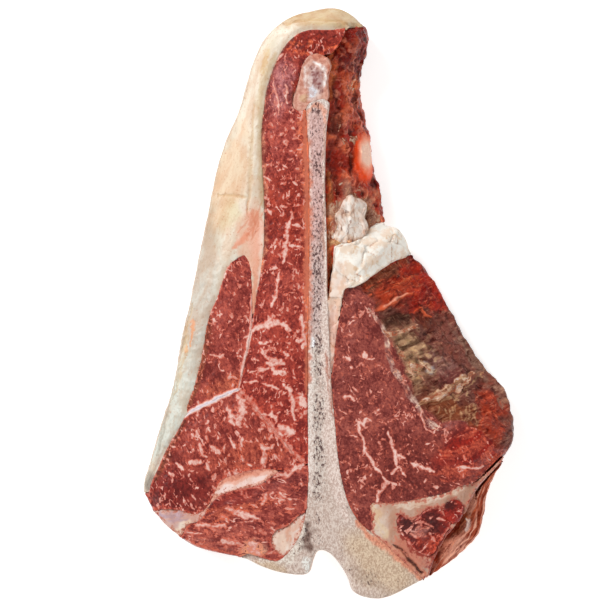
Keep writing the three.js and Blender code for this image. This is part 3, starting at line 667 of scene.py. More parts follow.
chine = Carving("chine_muscle")
chine.paint(0x913C34)
chine.paint(0xA74E42, chine.patch(-48, -104, 16, 6, -10))
chine.paint(0xA64A3E, chine.patch(-24, -90, 12, 6, -10))
chine.paint(0x86261E, 0.8 * chine.patch(-44, -87, 12, 3.6, 18, 0.5))
chine.paint(0xB6533C, 0.8 * chine.near(strands(38, 30, 1.6, 1.0, -54, -94, -42, -92, -28, -88), 0.5))
chine.paint(0xC1826E, chine.patch(-33, -108, 5, 3.6))
CHINE_SEAMS = [
    (1.8, -24, -76, -18, -75, -13, -72, -8, -69), (4.0, -34, -105, -33, -108.6),
    (1.8, -27, -83, -28, -86, -29, -89), (1.8, -45, -91, -38, -93, -30, -95),
    (3.4, -35.4, -106, -30, -111), (2.4, -47, -105, -43, -105.4),
    (1.2, -58, -97, -50, -98, -43, -98), (1.0, -22, -84, -16, -86), (1.0, -20, -90, -15, -91),
]
chine.fat = 0.95 * chine.near(CHINE_SEAMS, 0.9)
chine_flecks = stray_flecks(6, 80, (-62, -110, -12, -76), 3.8, 1.0, -12, 25)
chine.fat = np.maximum(chine.fat, 0.6 * chine.near(chine_flecks, 0.9))
chine.fat = np.maximum(chine.fat, 0.6 * chine.border(1.8, 0.8))
chine.raise_by(0.16 * chine.grain(1.5, 7, (2, 1, 1)) + 0.2 * chine.grain(6, 8) + 0.16 * chine.fat)
chine.finish(chine_beef)

# Fat between and around the muscles
# Soft beef fat: the cap under the hide, the seams between muscles and the fat beside the bone.
# Blood and thin membranes tinge the inner fat pink; the outside of the cap is cream and dry.


def beef_fat(name, sheen=0.38, crumb=0.5):
    """Firm raw fat: creamy, faintly mottled with pink, with fine crumbs where it was rubbed.
    Where the tint is laid with meat, red shreds stay on it."""
    material, tree, skin = new_material(name)
    mm = in_millimetres(tree)
    tint = attribute(tree, "tint", "Color")
    meat = attribute(tree, "fat")
    cloud = speckle(tree, in_millimetres(tree, (1, 2.6, 1), -12), 5.0, 11, 5.0)
    crumbs = speckle(tree, mm, 1.1, 12, 4.0, 0.7)
    rosy = blend(tree, 1.0, tint, (0.96, 0.84, 0.77, 1), "MULTIPLY")
    chalky = blend(tree, 1.0, tint, (1.05, 1.08, 1.10, 1), "MULTIPLY")
    ground = blend(tree, between(tree, cloud, 0.40, 0.60), rosy, chalky)
    hollow = blend(tree, 1.0, ground, (0.82, 0.70, 0.60, 1), "MULTIPLY")
    pits = between(tree, crumbs, 0.47, 0.36)
    colour = blend(tree, maths(tree, "MULTIPLY", pits, crumb), ground, hollow)
    meat = maths(tree, "MULTIPLY_ADD", maths(tree, "SUBTRACT", crumbs, 0.5), -2.5, meat)
    colour = blend(tree, between(tree, meat, 0.25, 0.60), colour, linear(0xC07560))
    colour = blend(tree, between(tree, meat, 0.60, 1.00), colour, linear(0x94392C))
    tree.links.new(colour, skin.inputs["Base Color"])
    skin.inputs["Roughness"].default_value = sheen
    skin.inputs["Specular IOR Level"].default_value = 0.4
    bump = add(tree, "Bump", {"Height": crumbs, "Strength": 0.5 * crumb + 0.1,
                              "Distance": 0.4 * MM})
    tree.links.new(bump.outputs["Normal"], skin.inputs["Normal"])
    return material


seam_fat = beef_fat("pink seam fat", 0.36, 0.4)

cap = Carving("fat_cap")
cap.paint(0xD8CDBB)
cap.paint(0xAF997E, 0.85 * cap.patch(-50, 40, 5, 34, -12, 0.2))
cap.paint(0xC7AC84, cap.patch(-2, 127, 24, 6))
cap.paint(0xD4C5B1, cap.patch(-29, 96, 5, 24, -12))
cap.paint(0xD5BC9F, cap.patch(-43, 55, 8, 22, -12))
cap.paint(0xC0B7AA, cap.patch(-60, -10, 10, 36, -8))
cap.paint(0xC7C6BA, cap.patch(-70, -46, 8, 26, -15))
cap.paint(0xAEA89A, cap.patch(-79, -79, 3, 8, 10))
shallow = cap.depth(3, 5)
cap.paint(0xC6B79E, 0.7 * shallow * cap.patch(-29, 110, 4, 9, -30))
cap.paint(0xC9A56C, 0.6 * shallow * cap.patch(-28, 107, 1.5, 6, -12, 0.5))
cap.paint(0xC49C60, 0.6 * shallow * cap.patch(-8, 129, 10, 1.6, 0, 0.4))
cap.paint(0xE6DFD0, 0.7 * shallow * cap.patch(-17.6, 120, 4, 2.4, 40, 0.5))
cap.paint(0xEFE3DA, 0.7 * cap.near([(1.8, -49, -2, -46.5, 6, -43, 13, -38, 20)], 0.4, 0.4))
cap.paint(0xCDBB92, 0.6 * shallow * cap.patch(-46, 40, 6, 7, 0, 0.4))
cap.paint(0xDFAA8E, 0.8 * shallow * cap.patch(-34, 30, 5.4, 14, 0, 0.2))
cap.paint(0xD98A68, 0.7 * shallow * cap.patch(-32, 32, 2.6, 8, 0, 0.2))
cap.paint(0xD98F72, 0.8 * cap.near([(2.4, -31, 36, -31.4, 18, -32.6, 6, -33.4, -6)], 0.3, 0.5))
cap.paint(0xE08664, 0.7 * cap.near([(2.2, -42, 24.6, -37, 28.6, -32.6, 33)], 0.7, 0.5))
cap.paint(0xEBCDBE, 0.7 * cap.near([(1.5, -29.8, 36, -29.8, 16, -31, 2)], 0.5, 0.4))
cap.paint(0xE9B49C, 0.7 * cap.near(strands(39, 24, 1.6, 0.8, -32, 40, -33, 26, -33.4, 12), 0.4))
cap.paint(0xCE7656, 0.5 * cap.near(strands(88, 14, 2.4, 0.7, -40, 26, -34, 34, -31, 44), 0.5))
cap.paint(0xDD9A6A, 0.8 * shallow * cap.near([(1.0, -59.6, -6, -60, -12, -60.6, -18.6),
                                              (1.2, -62.6, -18, -63.2, -21)], 0.7))
cap.paint(0x9C9484, 0.7 * shallow * cap.near(strands(40, 16, 0.8, 0.8, -66, -26, -70, -42, -77, -66), 0.7))
cap.paint(0xC8A878, 0.5 * shallow * cap.near(strands(41, 14, 1.2, 0.8, -60, 0, -64, -20, -70, -44), 0.7))
CREASES = [(1.2, -33, 88, -34.2, 66, -34.6, 52, -35.6, 40), (1.0, -48.5, 47.4, -42, 47.8, -35.6, 46.4),
           (0.9, -20, 123, -8, 125, 4, 124.6, 12, 121), (0.9, -60, 0, -63, -14, -66, -26)]
cap_crease = cap.near(CREASES, 0.5, 0.4)
cap.paint(0xBF9866, 0.45 * cap_crease)
rough = cap.patch(-66, -30, 20, 52, -10)
cap.raise_by(0.3 * cap.grain(9, 3) + 0.12 * cap.grain(3, 4) + rough * 0.35 * cap.grain(3.2, 5)
             + rough * 0.15 * cap.grain(1.2, 6) - 0.35 * cap_crease)
OLIVE_RIM = [(2.4, -23, 110, -27, 102, -29.4, 94, -30, 86, -29.6, 76, -29.6, 60, -29, 43)]
cap.paint(0xB89B70, 0.6 * cap.near(OLIVE_RIM, 0.5, 0.4))
cap.paint(0x8A683F, 0.8 * cap.border(0.9, 0.3) * cap.near([(8, *OLIVE_RIM[0][1:])]))
# The side walls are painted darker brown: partly the dry outer skin, partly painted shade on the walls.
cap.paint(0xA68A70, 0.65 * ~cap.top)
cap.finish(beef_fat("cream cap fat", 0.42, 0.55))

seam = Carving("seam_fat")
seam.paint(0xE5AF9C)
seam.paint(0xCFA89E, seam.patch(-66, -96, 12, 7, -20, 0.5))
seam.paint(0xE7D2C0, seam.patch(-63, -99, 4, 3, 0, 0.5))
PALE_EDGE = (-56, -88, -50, -83, -44, -80.6, -36, -79, -28, -76.4)
seam.paint(0xEBD3CB, 0.8 * seam.near(strands(33, 26, 0.5, 0.9, *PALE_EDGE), 0.4))
seam.paint(0xD98A70, 0.8 * seam.near(strands(34, 22, 0.8, 0.8, -50, -79, -40, -75, -28, -73), 0.5))
seam.paint(0xB49AA8, 0.7 * seam.near(strands(35, 12, 0.9, 1.0, -76, -92, -68, -94, -60, -93), 0.5))
seam.fat = 0.62 * seam.border(2.2, 0.9)
seam.raise_by(0.2 * seam.grain(3, 2) + 0.08 * seam.grain(1.2, 3))
seam.finish(seam_fat)

chine_fat = Carving("chine_fat")
chine_fat.paint(0xDDC7BB)
chine_fat.paint(0xEAD9CB, 0.7 * chine_fat.near(strands(36, 14, 1.2, 1.2, -23, -102, -20, -108), 0.5))
chine_fat.paint(0xD9A58C, 0.7 * chine_fat.near(strands(37, 10, 1.2, 1.0, -12, -95, -17, -106), 0.5))
chine_fat.fat = 0.62 * chine_fat.border(2.0, 0.9)
chine_fat.raise_by(0.25 * chine_fat.grain(3, 4) + 0.1 * chine_fat.grain(1.2, 5))
chine_fat.finish(seam_fat)

chain_fat = Carving("chain_fat")
chain_fat.paint(0xBA937F)
chain_fat.paint(0xD2BAA8, chain_fat.patch(21, -94, 5, 9, 0, 0.5))
chain_fat.paint(0xCB8A70, chain_fat.near([(3.0, 22, -104, 30, -110, 38, -117, 44, -121)], 0.3))
chain_fat.paint(0xE6D2BE, 0.55 * chain_fat.near(strands(42, 20, 0.9, 1.0, 27, -89, 40, -88, 56, -83), 0.5))
chain_fat.paint(0xDBBE96, 0.5 * chain_fat.near(strands(43, 14, 1.2, 1.2, 18, -88, 20, -96, 24, -102), 0.5))
chain_fat.paint(0xC76E54, 0.7 * chain_fat.near(strands(44, 18, 1.2, 1.0, 30, -104, 38, -112, 44, -118), 0.5))
chain_fat.fat = 0.7 * chain_fat.border(2.2, 0.9) + 0.5 * chain_fat.patch(42, -104, 12, 12, 0, 0.9)
# The crack is sunk and also painted near black: painted shade in the crack.
crack = chain_fat.near([(1.2, 29, -106, 32, -108.6, 35, -112, 38.6, -116, 41, -118)], 0.4)
chain_fat.paint(0x4A201A, crack)
chain_wall = 1.0 * ~chain_fat.top
bands = chain_fat.grain(2.2, 35, (6, 6, 1))
chain_fat.paint(0xB87258, chain_wall * np.clip(0.6 + 1.6 * bands, 0.2, 1))
chain_fat.fat += chain_wall * np.clip(0.45 + 1.1 * chain_fat.grain(3, 21, (3, 3, 1)), 0.1, 1.1)
chain_fat.raise_by(0.3 * chain_fat.grain(3, 6) + 0.1 * chain_fat.grain(1.2, 7) - 1.2 * crack)
chain_fat.finish(seam_fat)

# Tenderloin and its chain
# The fillet is the finest-grained muscle, with a few long threads of fat. Its outside, under
# the torn kidney fat, has dried to brown and dark red, crossed by bands of tan fat.

fillet_beef = cut_muscle("raw tenderloin", (1, 1.3, 4), 30, flecks=0.7, threads=0.85, spacing=6.0)


def dried_meat(name, degrees=25, wet=0.22, size=3.4, length=3.0, fibres=0.5, shine=0.1):
    """The outside of an aged cut: dark and translucent, with streaks, hair-fine pale fibres (partly
    painted glints) and thin tan membranes drawn over it, and glossy where it is still moist."""
    material, tree, skin = new_material(name)
    tint = attribute(tree, "tint", "Color")
    laid_fat_and_glints = attribute(tree, "fat")
    calm = attribute(tree, "calm")
    drawn = in_millimetres(tree, (length, 1, 1.5), degrees)
    streak = speckle(tree, drawn, size, 13, 5.0, 0.6, 1.2)
    speck = speckle(tree, in_millimetres(tree), 0.9, 14, 4.0, 0.75)
    hair = speckle(tree, in_millimetres(tree, (6, 1, 3), degrees - 75), 0.6, 15, 2.0, 0.6, 0.6)
    hair_zone = speckle(tree, in_millimetres(tree), 7.0, 16, 3.0)
    dark = blend(tree, 1.0, tint, (0.36, 0.16, 0.13, 1), "MULTIPLY")
    light = blend(tree, 1.0, tint, (1.7, 1.8, 1.5, 1), "MULTIPLY")
    pale = blend(tree, 1.0, tint, (2.2, 2.8, 2.6, 1), "MULTIPLY")
    pale = blend(tree, 0.35, pale, linear(0xCFA384))
    shade = blend_values(tree, 0.35, streak, speck)
    shade = blend_values(tree, calm, shade, 0.51)
    colour = blend(tree, between(tree, shade, 0.38, 0.51), dark, tint)
    colour = blend(tree, between(tree, shade, 0.51, 0.66), colour, light)
    ragged = maths(tree, "MULTIPLY_ADD", maths(tree, "SUBTRACT", shade, 0.5), 1.6, laid_fat_and_glints)
    colour = blend(tree, between(tree, ragged, 0.20, 0.60), colour, linear(0xA9583C))
    colour = blend(tree, between(tree, ragged, 0.60, 1.10), colour, linear(0xD3A486))
    colour = blend(tree, between(tree, ragged, 1.20, 1.60), colour, linear(0xE8DCD4))
    # Pale hairs: partly fibres, partly painted glints, small white specks of wet shine.
    pale_hair_and_glints = maths(tree, "MULTIPLY", between(tree, hair, 0.55, 0.66),
                      between(tree, hair_zone, 0.46, 0.60))
    colour = blend(tree, maths(tree, "MULTIPLY", pale_hair_and_glints, fibres), colour, pale)
    busy = maths(tree, "SUBTRACT", 1.0, calm)
    fibre = speckle(tree, in_millimetres(tree, (5, 1, 3), degrees), 1.1, 19, 3.0, 0.6, 0.5)
    pale_fibre = maths(tree, "MULTIPLY", between(tree, fibre, 0.52, 0.63),
                       between(tree, hair_zone, 0.58, 0.44))
    pale_fibre = maths(tree, "MULTIPLY", pale_fibre, busy)
    colour = blend(tree, maths(tree, "MULTIPLY", pale_fibre, fibres), colour, pale)
    furrow = maths(tree, "MULTIPLY", between(tree, fibre, 0.47, 0.36), busy)
    sunk = blend(tree, 1.0, colour, (0.50, 0.34, 0.30, 1), "MULTIPLY")
    colour = blend(tree, maths(tree, "MULTIPLY", furrow, fibres), colour, sunk)
    tree.links.new(colour, skin.inputs["Base Color"])
    skin.inputs["Roughness"].default_value = wet
    skin.inputs["Specular IOR Level"].default_value = shine
    height = maths(tree, "MULTIPLY_ADD", streak, 2.0, speck)
    bump = add(tree, "Bump", {"Height": height, "Strength": 0.6, "Distance": 0.7 * MM})
    tree.links.new(bump.outputs["Normal"], skin.inputs["Normal"])
    return material


fillet = Carving("tenderloin", 0.78)
fall = CUT_FACE - fillet.points[:, 2] + 0.5 * fillet.grain(4, 2)
dried = np.clip((fall - 0.7) / 0.8, 0, 1)
dried *= np.clip((fillet.points[:, 0] - 8) / 4, 0, 1)
dried *= np.clip((fillet.points[:, 1] + 66) / 4, 0, 1)
fillet.paint(0x8F4037)
fillet.paint(0x82332A, fillet.patch(40, -72, 34, 14))
fillet.paint(0x90190A, fillet.patch(66, -61, 18, 9, 35))
fillet.paint(0x744036, dried)
fillet.paint(0xA22314, dried * fillet.patch(34, 12, 22, 11, -28))
fillet.paint(0x8A4630, dried * fillet.patch(24, 12, 12, 3, 33, 0.4))
fillet.paint(0xA83A22, dried * fillet.patch(30, 6, 10, 5, 25))
fillet.paint(0xA82214, dried * fillet.patch(45, 0, 8, 8, -45))
fillet.paint(0x884A3E, dried * fillet.patch(54, -16, 8, 17, 38))
fillet.paint(0x43241A, 0.9 * dried * fillet.patch(31, -6.6, 9, 2.6, 10, 0.4))
fillet.paint(0x5E2418, 0.8 * dried * fillet.patch(44, -7, 6, 4, -40, 0.4))
fillet.paint(0x9A7056, dried * fillet.patch(34, -24, 8, 12, 20, 0.4))
fillet.paint(0x5A4330, 0.8 * dried * fillet.patch(33, -18, 4, 3, 20, 0.5))
fillet.paint(0x4C3A2C, 0.8 * dried * fillet.patch(33, -32, 3, 4, 20, 0.5))
fillet.paint(0x93625A, 0.8 * dried * fillet.patch(50, -27, 7, 4, -20, 0.5))
fillet.paint(0x7E3E3A, 0.8 * dried * fillet.patch(54, -33, 8, 3, 25, 0.5))
fillet.paint(0xC9C0C0, 0.7 * dried * fillet.patch(44.6, -29, 1.6, 3, 20, 0.5))
fillet.paint(0x7E4028, dried * fillet.patch(54, -48, 14, 6, -30, 0.4))
fillet.paint(0x8E6A5A, 0.7 * dried * fillet.patch(66, -25, 4, 15, 32, 0.5))
fillet.paint(0x983320, dried * fillet.patch(72, -50, 7, 12, 0, 0.4))
fillet.paint(0x926252, dried * fillet.patch(77, -42, 3, 5, 0, 0.4))
SALMON_BANDS = [(1.3, 17.6, -4.6, 22, -2.6, 28, 0.4, 33, 2.8, 37, 4.6), (1.2, 15, 0.6, 17, 2.4, 19, 4),
                (0.8, 29, 7.6, 34, 10, 38, 12), (0.9, 40, -2, 43, -5, 46, -6)]
salmon = dried * fillet.near(SALMON_BANDS, 0.2, 0.4)
fillet.paint(0xD9603C, salmon)
# Painted highlight: a pale line of wet shine along the top of the salmon band.
fillet.paint(0xF0A488, 0.8 * dried * fillet.near([(0.7, 24, -1.2, 29, 1.4, 35, 4.2)], 0.4, 0.4))
CREAM_BAND = (37, -43, 44, -42.6, 50, -40.4, 57.6, -36.8, 62, -33.4, 64, -31)
UPPER_BAND = (20, -8, 26, -14, 30, -12.8, 38, -10.4)
mottle = fillet.grain(2.4, 31, (1.7, 1, 1), 25)
mottled = dried * fillet.patch(37, -24, 11, 13, 20, 0.4)
fillet.paint(0x553A28, mottled * np.clip(2.2 * mottle, 0, 0.7))
fillet.paint(0xC89C78, mottled * np.clip(-2.4 * mottle - 0.1, 0, 0.8))
band_fibres = (strands(51, 18, 0.8, 0.7, *CREAM_BAND) + strands(52, 9, 0.6, 0.7, *UPPER_BAND)
               + strands(54, 14, 2.6, 0.5, 28, -18, 33, -26, 42, -31))
pale_fibres = dried * fillet.near(band_fibres, 0.6, 0.6)
pale_fibres *= np.clip(0.9 + 1.2 * fillet.grain(3, 32), 0.3, 1)
fillet.paint(0xE9CDB2, 0.6 * pale_fibres)
TAN_FIBRES = (strands(53, 20, 1.6, 0.5, *CREAM_BAND)
              + stray_flecks(54, 26, (48, -55, 66, -42), 5, 0.7, 80, 18)
              + stray_flecks(55, 20, (28, -34, 46, -10), 4, 0.6, 20, 50))
fillet.paint(0xC0906A, 0.6 * dried * fillet.near(TAN_FIBRES, 0.6, 0.5))
RED_FIBRES = (stray_flecks(59, 40, (14, -4, 46, 18), 5, 0.7, 25, 12)
              + stray_flecks(60, 24, (66, -58, 78, -38), 4, 0.9, -75, 14))
fillet.paint(0xC4492C, 0.6 * dried * fillet.near(RED_FIBRES, 0.4, 0.5))
DARK_FIBRES = (stray_flecks(61, 60, (34, -40, 68, 4), 5, 0.8, -58, 20)
               + stray_flecks(62, 30, (14, -4, 44, 18), 6, 0.8, 25, 12))
fillet.paint(0x3A1810, 0.5 * dried * fillet.near(DARK_FIBRES, 0.5, 0.5))
CREST = [(2.0, 17, -2, 20, -6, 24, -10, 25.4, -16, 26, -22, 28, -28, 32, -34, 36, -40, 40, -47,
          44, -54, 49, -55)]
crest = fillet.near(strands(60, 30, 0.45, 0.5, *CREST[0][1:]), 0.6, 0.6)
crest *= np.clip(0.6 + 1.6 * fillet.grain(4, 11), 0.15, 1)
fillet.paint(0xDDB8A8, 0.85 * crest)
ARCS = (strands(64, 30, 1.2, 0.7, 49, -66, 57, -67, 65, -63, 71, -55)
        + strands(62, 30, 1.6, 0.7, 46, -74, 58, -75, 68, -70, 77, -60)
        + strands(63, 20, 1.4, 0.7, 54, -60, 62, -58, 69, -50))
fillet.paint(0xBC503A, 0.70 * fillet.near(ARCS, 0.6) * (1 - dried))
FILLET_SEAMS = [
    (1.2, 13, -52, 15, -60, 17, -66, 20, -71, 24, -77, 28, -79.5),
    (1.6, 21, -87, 22, -83, 25, -80, 29, -79.5),
    (1.2, 26, -56, 27, -60, 29, -65, 30, -70, 31, -73), (1.2, 30, -67, 34, -68),
    (1.2, 31, -72, 34, -76), (1.2, 31, -73, 28, -74.4),
    (1.2, 36, -70, 40, -72, 44, -73, 47, -74), (0.9, 9, -9, 11, -7), (0.9, 7, -24, 9, -25),
    (1.0, 15, -21, 17, -24, 20, -24), (1.0, 9, -27, 11, -27.6), (1.1, 11, -37, 14, -38),
    (1.4, 7, -41, 9.6, -41.6, 12, -43), (1.0, 5, -47, 7, -49), (1.0, 17.6, -38, 18.6, -40),
    (1.1, 13, -52, 16, -54), (1.1, 16, -54, 17, -51), (1.0, 10, -58, 13, -59),
    (0.9, 46, -80, 48, -81), (0.9, 56, -79, 58, -79.4), (0.8, 43, -62, 45, -61),
    (0.7, 41, -45, 40.6, -50, 43, -55.4, 47, -56.6, 49, -53),
    (1.2, 58, -72, 63, -73, 68, -72),
]
fillet.fat = 1.1 * fillet.near(FILLET_SEAMS, 0.6) * (1 - dried)
fillet_flecks = stray_flecks(7, 90, (4, -96, 80, 0), 2.2, 0.9, 30, 60)
fillet.fat = np.maximum(fillet.fat, 0.85 * fillet.near(fillet_flecks, 0.9) * (1 - dried))
fillet.fat = np.maximum(fillet.fat, 1.35 * pale_fibres)
fillet.calm = salmon
fillet.fat = np.maximum(fillet.fat, 0.5 * fillet.border(1.0) * (1 - dried))
folds = 1.0 * fillet.grain(5, 8, (2.4, 1, 1), 25) + 0.35 * fillet.grain(2.0, 9, (2.0, 1, 1), 25)
fillet.raise_by((1 - dried) * (0.12 * fillet.grain(1.3) + 0.2 * fillet.grain(6, 3))
                + dried * (folds + 0.5 * fillet.near([(3, *CREAM_BAND), (3, *UPPER_BAND)])) + 0.9 * salmon)
fillet.finish(fillet_beef, dried_meat("dried fillet side", shine=0.05), dried)

chain = Carving("chain_muscle")
chain.paint(0x7A1D15)
chain.paint(0x4C1A18, 0.9 * chain.patch(35, -98, 4, 5, 0, 0.5))
chain.paint(0x561A16, 0.8 * chain.patch(45, -97, 4, 5, 0, 0.5))
chain.paint(0xA83A26, 0.8 * chain.patch(46, -106, 6, 4, 20, 0.5))
chain.paint(0xB9756C, 0.5 * chain.patch(40, -101, 3.6, 2.6, 30, 0.7))
chain.fat = chain.near([(1.4, 38, -97, 42, -96, 46, -98), (1.2, 36, -101, 40, -104),
                        (1.2, 44, -101, 47, -105), (1.0, 48, -94, 51, -96)], 0.5)
chain.raise_by(0.2 * chain.grain(1.4) + 0.4 * chain.grain(4, 3))
chain.fat = np.maximum(0.8 * chain.fat, 0.6 * chain.border(1.8, 0.8))
chain_beef = cut_muscle("raw chain muscle", (2.2, 1, 4), 35, flecks=0.9, threads=0.9, spacing=3.6)
chain.finish(chain_beef)

round_muscle = Carving("chain_round")
round_muscle.paint(0x962014)
# Painted shade: a small dark spot at the edge of the round muscle.
round_muscle.paint(0x4E140E, 0.8 * round_muscle.patch(54, -88.6, 3, 2, 0, 0.5))
round_muscle.raise_by(0.15 * round_muscle.grain(1.4, 3))
round_muscle.finish(chain_beef)

lining = Carving("side_lining")
near_cut = lining.depth(5, 8)
bands = lining.grain(2.2, 35, (6, 6, 1))
lining.paint(0xAA5038)
lining.paint(0x7E2412, near_cut)
lining.paint(0xB8603C, near_cut * lining.near([(2.4, 79, -66, 70, -80, 64, -91, 56, -102)], 0.8))
# Painted shade: a dark line down the furrow between the layers, over its real shadow.
lining.paint(0x45140C, 0.7 * near_cut * lining.near([(2.0, 66, -84, 62, -92, 55, -102, 48, -112)], 0.8))
lining.paint(0xDE9078, near_cut * lining.patch(64, -103, 5, 7))
lining.paint(0xA4482E, near_cut * lining.near([(1.6, 76, -78, 70, -90, 62, -100, 54, -112)], 0.8))
LAYERS = (76, -74, 70, -84, 64, -96, 56, -106)
lining.paint(0x3E1A14, 0.8 * near_cut * lining.near(strands(45, 14, 1.2, 1.0, *LAYERS), 0.5))
lining.paint(0xF29476, 0.85 * near_cut * lining.patch(57, -109, 8, 6, 45, 0.5))
OUTER_FIBRES = (79, -68, 73, -78, 69, -92, 66, -102)
lining.paint(0xC06844, 0.5 * near_cut * lining.near(strands(46, 16, 0.9, 0.8, *OUTER_FIBRES), 0.5))
LOWER_FIBRES = (66, -98, 62, -106, 54, -114)
lining.paint(0xEFA88E, 0.8 * near_cut * lining.near(strands(47, 12, 1.6, 0.9, *LOWER_FIBRES), 0.5))
# Painted highlight: a white spot of wet shine on the layers.
lining.paint(0xF0E0D8, near_cut * lining.near([(1.6, 61, -95, 62.4, -98, 61.4, -100)], 0.4))
lining.paint(0xE2A48E, np.clip(2.4 * bands + 0.1, 0, 0.85) * (1 - near_cut))
lining.paint(0xE8A892, 0.75 * (1 - near_cut) * lining.patch(57, -109, 8, 7))
lining.paint(0x7C2A1A, np.clip(-2 * bands, 0, 0.6) * (1 - near_cut))
lining.raise_by(0.6 * lining.grain(3.4, 5, (1, 2.5, 1), 30) + 0.2 * lining.grain(1.2, 6))
lining.finish(dried_meat("layered side membrane", 55, 0.4, 2.4, 4.0, 0.25, 0.0))

# Kidney fat
# Hard white suet that was torn, not cut: it breaks along tilted faces, with thin peach membrane
# in the cracks.


def torn_suet():
    """Dry, brittle kidney fat: chalk white with peach membrane in its cracks and folds."""
    material, tree, skin = new_material("torn suet")
    tint = attribute(tree, "tint", "Color")
    crevice = attribute(tree, "fat")
    cloud = speckle(tree, in_millimetres(tree), 4.0, 17, 5.0)
    fine = speckle(tree, in_millimetres(tree), 1.0, 18)
    chalk = blend(tree, 1.0, tint, (1.05, 1.07, 1.09, 1), "MULTIPLY")
    peach = blend(tree, 1.0, tint, (0.95, 0.82, 0.73, 1), "MULTIPLY")
    ground = blend(tree, between(tree, cloud, 0.42, 0.56), peach, chalk)
    depth = maths(tree, "MULTIPLY_ADD", maths(tree, "SUBTRACT", fine, 0.5), -1.8, crevice)
    colour = blend(tree, between(tree, depth, 0.30, 0.70), ground, linear(0xC99273))
    colour = blend(tree, between(tree, depth, 0.75, 1.10), colour, linear(0x8A5238))
    tree.links.new(colour, skin.inputs["Base Color"])
    skin.inputs["Roughness"].default_value = 0.45
    bump = add(tree, "Bump", {"Height": cloud, "Strength": 0.4, "Distance": 0.5 * MM})
    tree.links.new(bump.outputs["Normal"], skin.inputs["Normal"])
    return material


def torn_facets(carving, size, seed):
    """Height in mm of tilted flat breaks of the given size, and where a crack runs between."""
    shift = Vector((seed * 9.1, seed * 4.7, 0))
    bent = carving.points + 1.5 * carving.grain(4, seed)[:, None]
    height, crack = np.zeros(len(bent)), np.zeros(len(bent))
    for i, point in enumerate(bent / size):
        place = Vector(point) + shift
        reach, centres = noise.voronoi(place)
        tilt = noise.noise_vector(centres[0] * 7.7)
        height[i] = size * 0.3 * tilt.dot(place - centres[0]) + 1.2 * tilt.x
        crack[i] = 1 - (reach[1] - reach[0]) * size / 1.2
    return height, np.clip(crack, 0, 1) * np.clip(0.5 + 2 * carving.grain(6, seed + 1), 0, 1)


suet_finish = torn_suet()
suet = Carving("suet")
suet.paint(0xF1E9DD)
suet.paint(0xEAD3C3, suet.patch(4, -4, 5, 22))
height, crack = torn_facets(suet, 11, 1)
suet.paint(0xD9B27E, 0.5 * suet.near(stray_flecks(85, 12, (4, 8, 36, 32), 3, 1.0, 40, 60), 0.6))
suet.paint(0xC48848, 0.7 * suet.near([(1.8, -1.0, 27, -0.8, 14, -0.6, 3)], 0.5))
suet.paint(0xD2937C, 0.6 * suet.patch(2.2, -16, 2.4, 14))
suet.fat = 0.5 * crack
suet.fat = np.maximum(suet.fat, suet.near([(1.6, -0.6, 26, -0.4, 14, 0, 2)], 0.5))
suet.raise_by((height - 0.6 * crack) * np.clip(suet.rim / 4, 0.3, 1) + 0.2 * suet.grain(2.0, 4))
suet.finish(suet_finish)

upper_suet = Carving("upper_suet")
upper_suet.paint(0xEADBCE)
upper_suet.ease(upper_suet.top, (2,), 120)
upper_suet.paint(0xB98A70, 0.7 * upper_suet.near(stray_flecks(80, 26, (2, 28, 16, 46), 5, 0.6, 80, 12), 0.5, 0.5))
upper_suet.paint(0xF0E6DC, 0.8 * upper_suet.near(stray_flecks(81, 30, (3, 28, 16, 46), 5, 0.8, 84, 12), 0.5, 0.5))
upper_suet.paint(0x7E4C38, 0.7 * upper_suet.near(stray_flecks(82, 12, (3, 29, 9, 46), 3, 0.5, 80, 14), 0.5, 0.5))
upper_suet.paint(0xB98A70, 0.5 * upper_suet.border(1.2, 0.8))
height, crack = torn_facets(upper_suet, 5, 2)
upper_suet.fat = 0.4 * crack
upper_suet.warp(4.5, 1.2, 12)
upper_suet.raise_by(0.4 * height - 0.3 * crack + 0.5 * upper_suet.grain(1.6, 5, (1, 2.6, 1)))
upper_suet.finish(suet_finish)

# Inner side of the tail
# The belly wall was pulled off here, which leaves dark meat and shreds of membrane, with a spot
# of orange fat that shines.

flank = Carving("flank_lining")
lumps = flank.grain(6, 6, (1, 1.5, 1)) + 0.5 * flank.grain(2.6, 7)
flank.paint(0xA82410)
flank.paint(0x6C0E06, flank.patch(10, 108, 8, 12))
flank.paint(0xAA4430, flank.patch(12, 90, 5, 9))
flank.paint(0x943424, flank.patch(3, 74, 4, 18))
flank.paint(0xC8765A, flank.patch(18, 41, 5, 9))
flank.paint(0xB8442C, flank.patch(8, 58, 7, 8))
flank.paint(0xCE4422, 0.8 * flank.patch(13, 84, 2.4, 9, 0, 0.5))
flank.paint(0xC04424, 0.8 * flank.patch(7, 101, 3, 3, 0, 0.5))
# Raised lumps are painted brighter and low ones darker: partly the meat's own patchy red, partly painted light
# and shade that follow the relief.
flank.paint(0x4E120A, np.clip(-2.2 * lumps - 0.2, 0, 0.8))
flank.paint(0xDE6A44, np.clip(2.2 * lumps - 0.5, 0, 0.75))
flank.paint(0xB4562C, flank.near([(3.0, 0.6, 110, 1.4, 98, 1.8, 90)], 0.6))
flank.paint(0xD8683A, flank.patch(-4, 112, 4, 2.6, 30))
flank.paint(0xE07A50, flank.patch(11, 96, 2.4, 3.4, 0))
flank.paint(0x7A150A, 0.6 * flank.patch(11.5, 114.5, 5, 6))
flank.paint(0xA8562F, flank.near([(2.2, 0.6, 58, 0.8, 44, 0.4, 26, 0.6, 8)], 0.4))
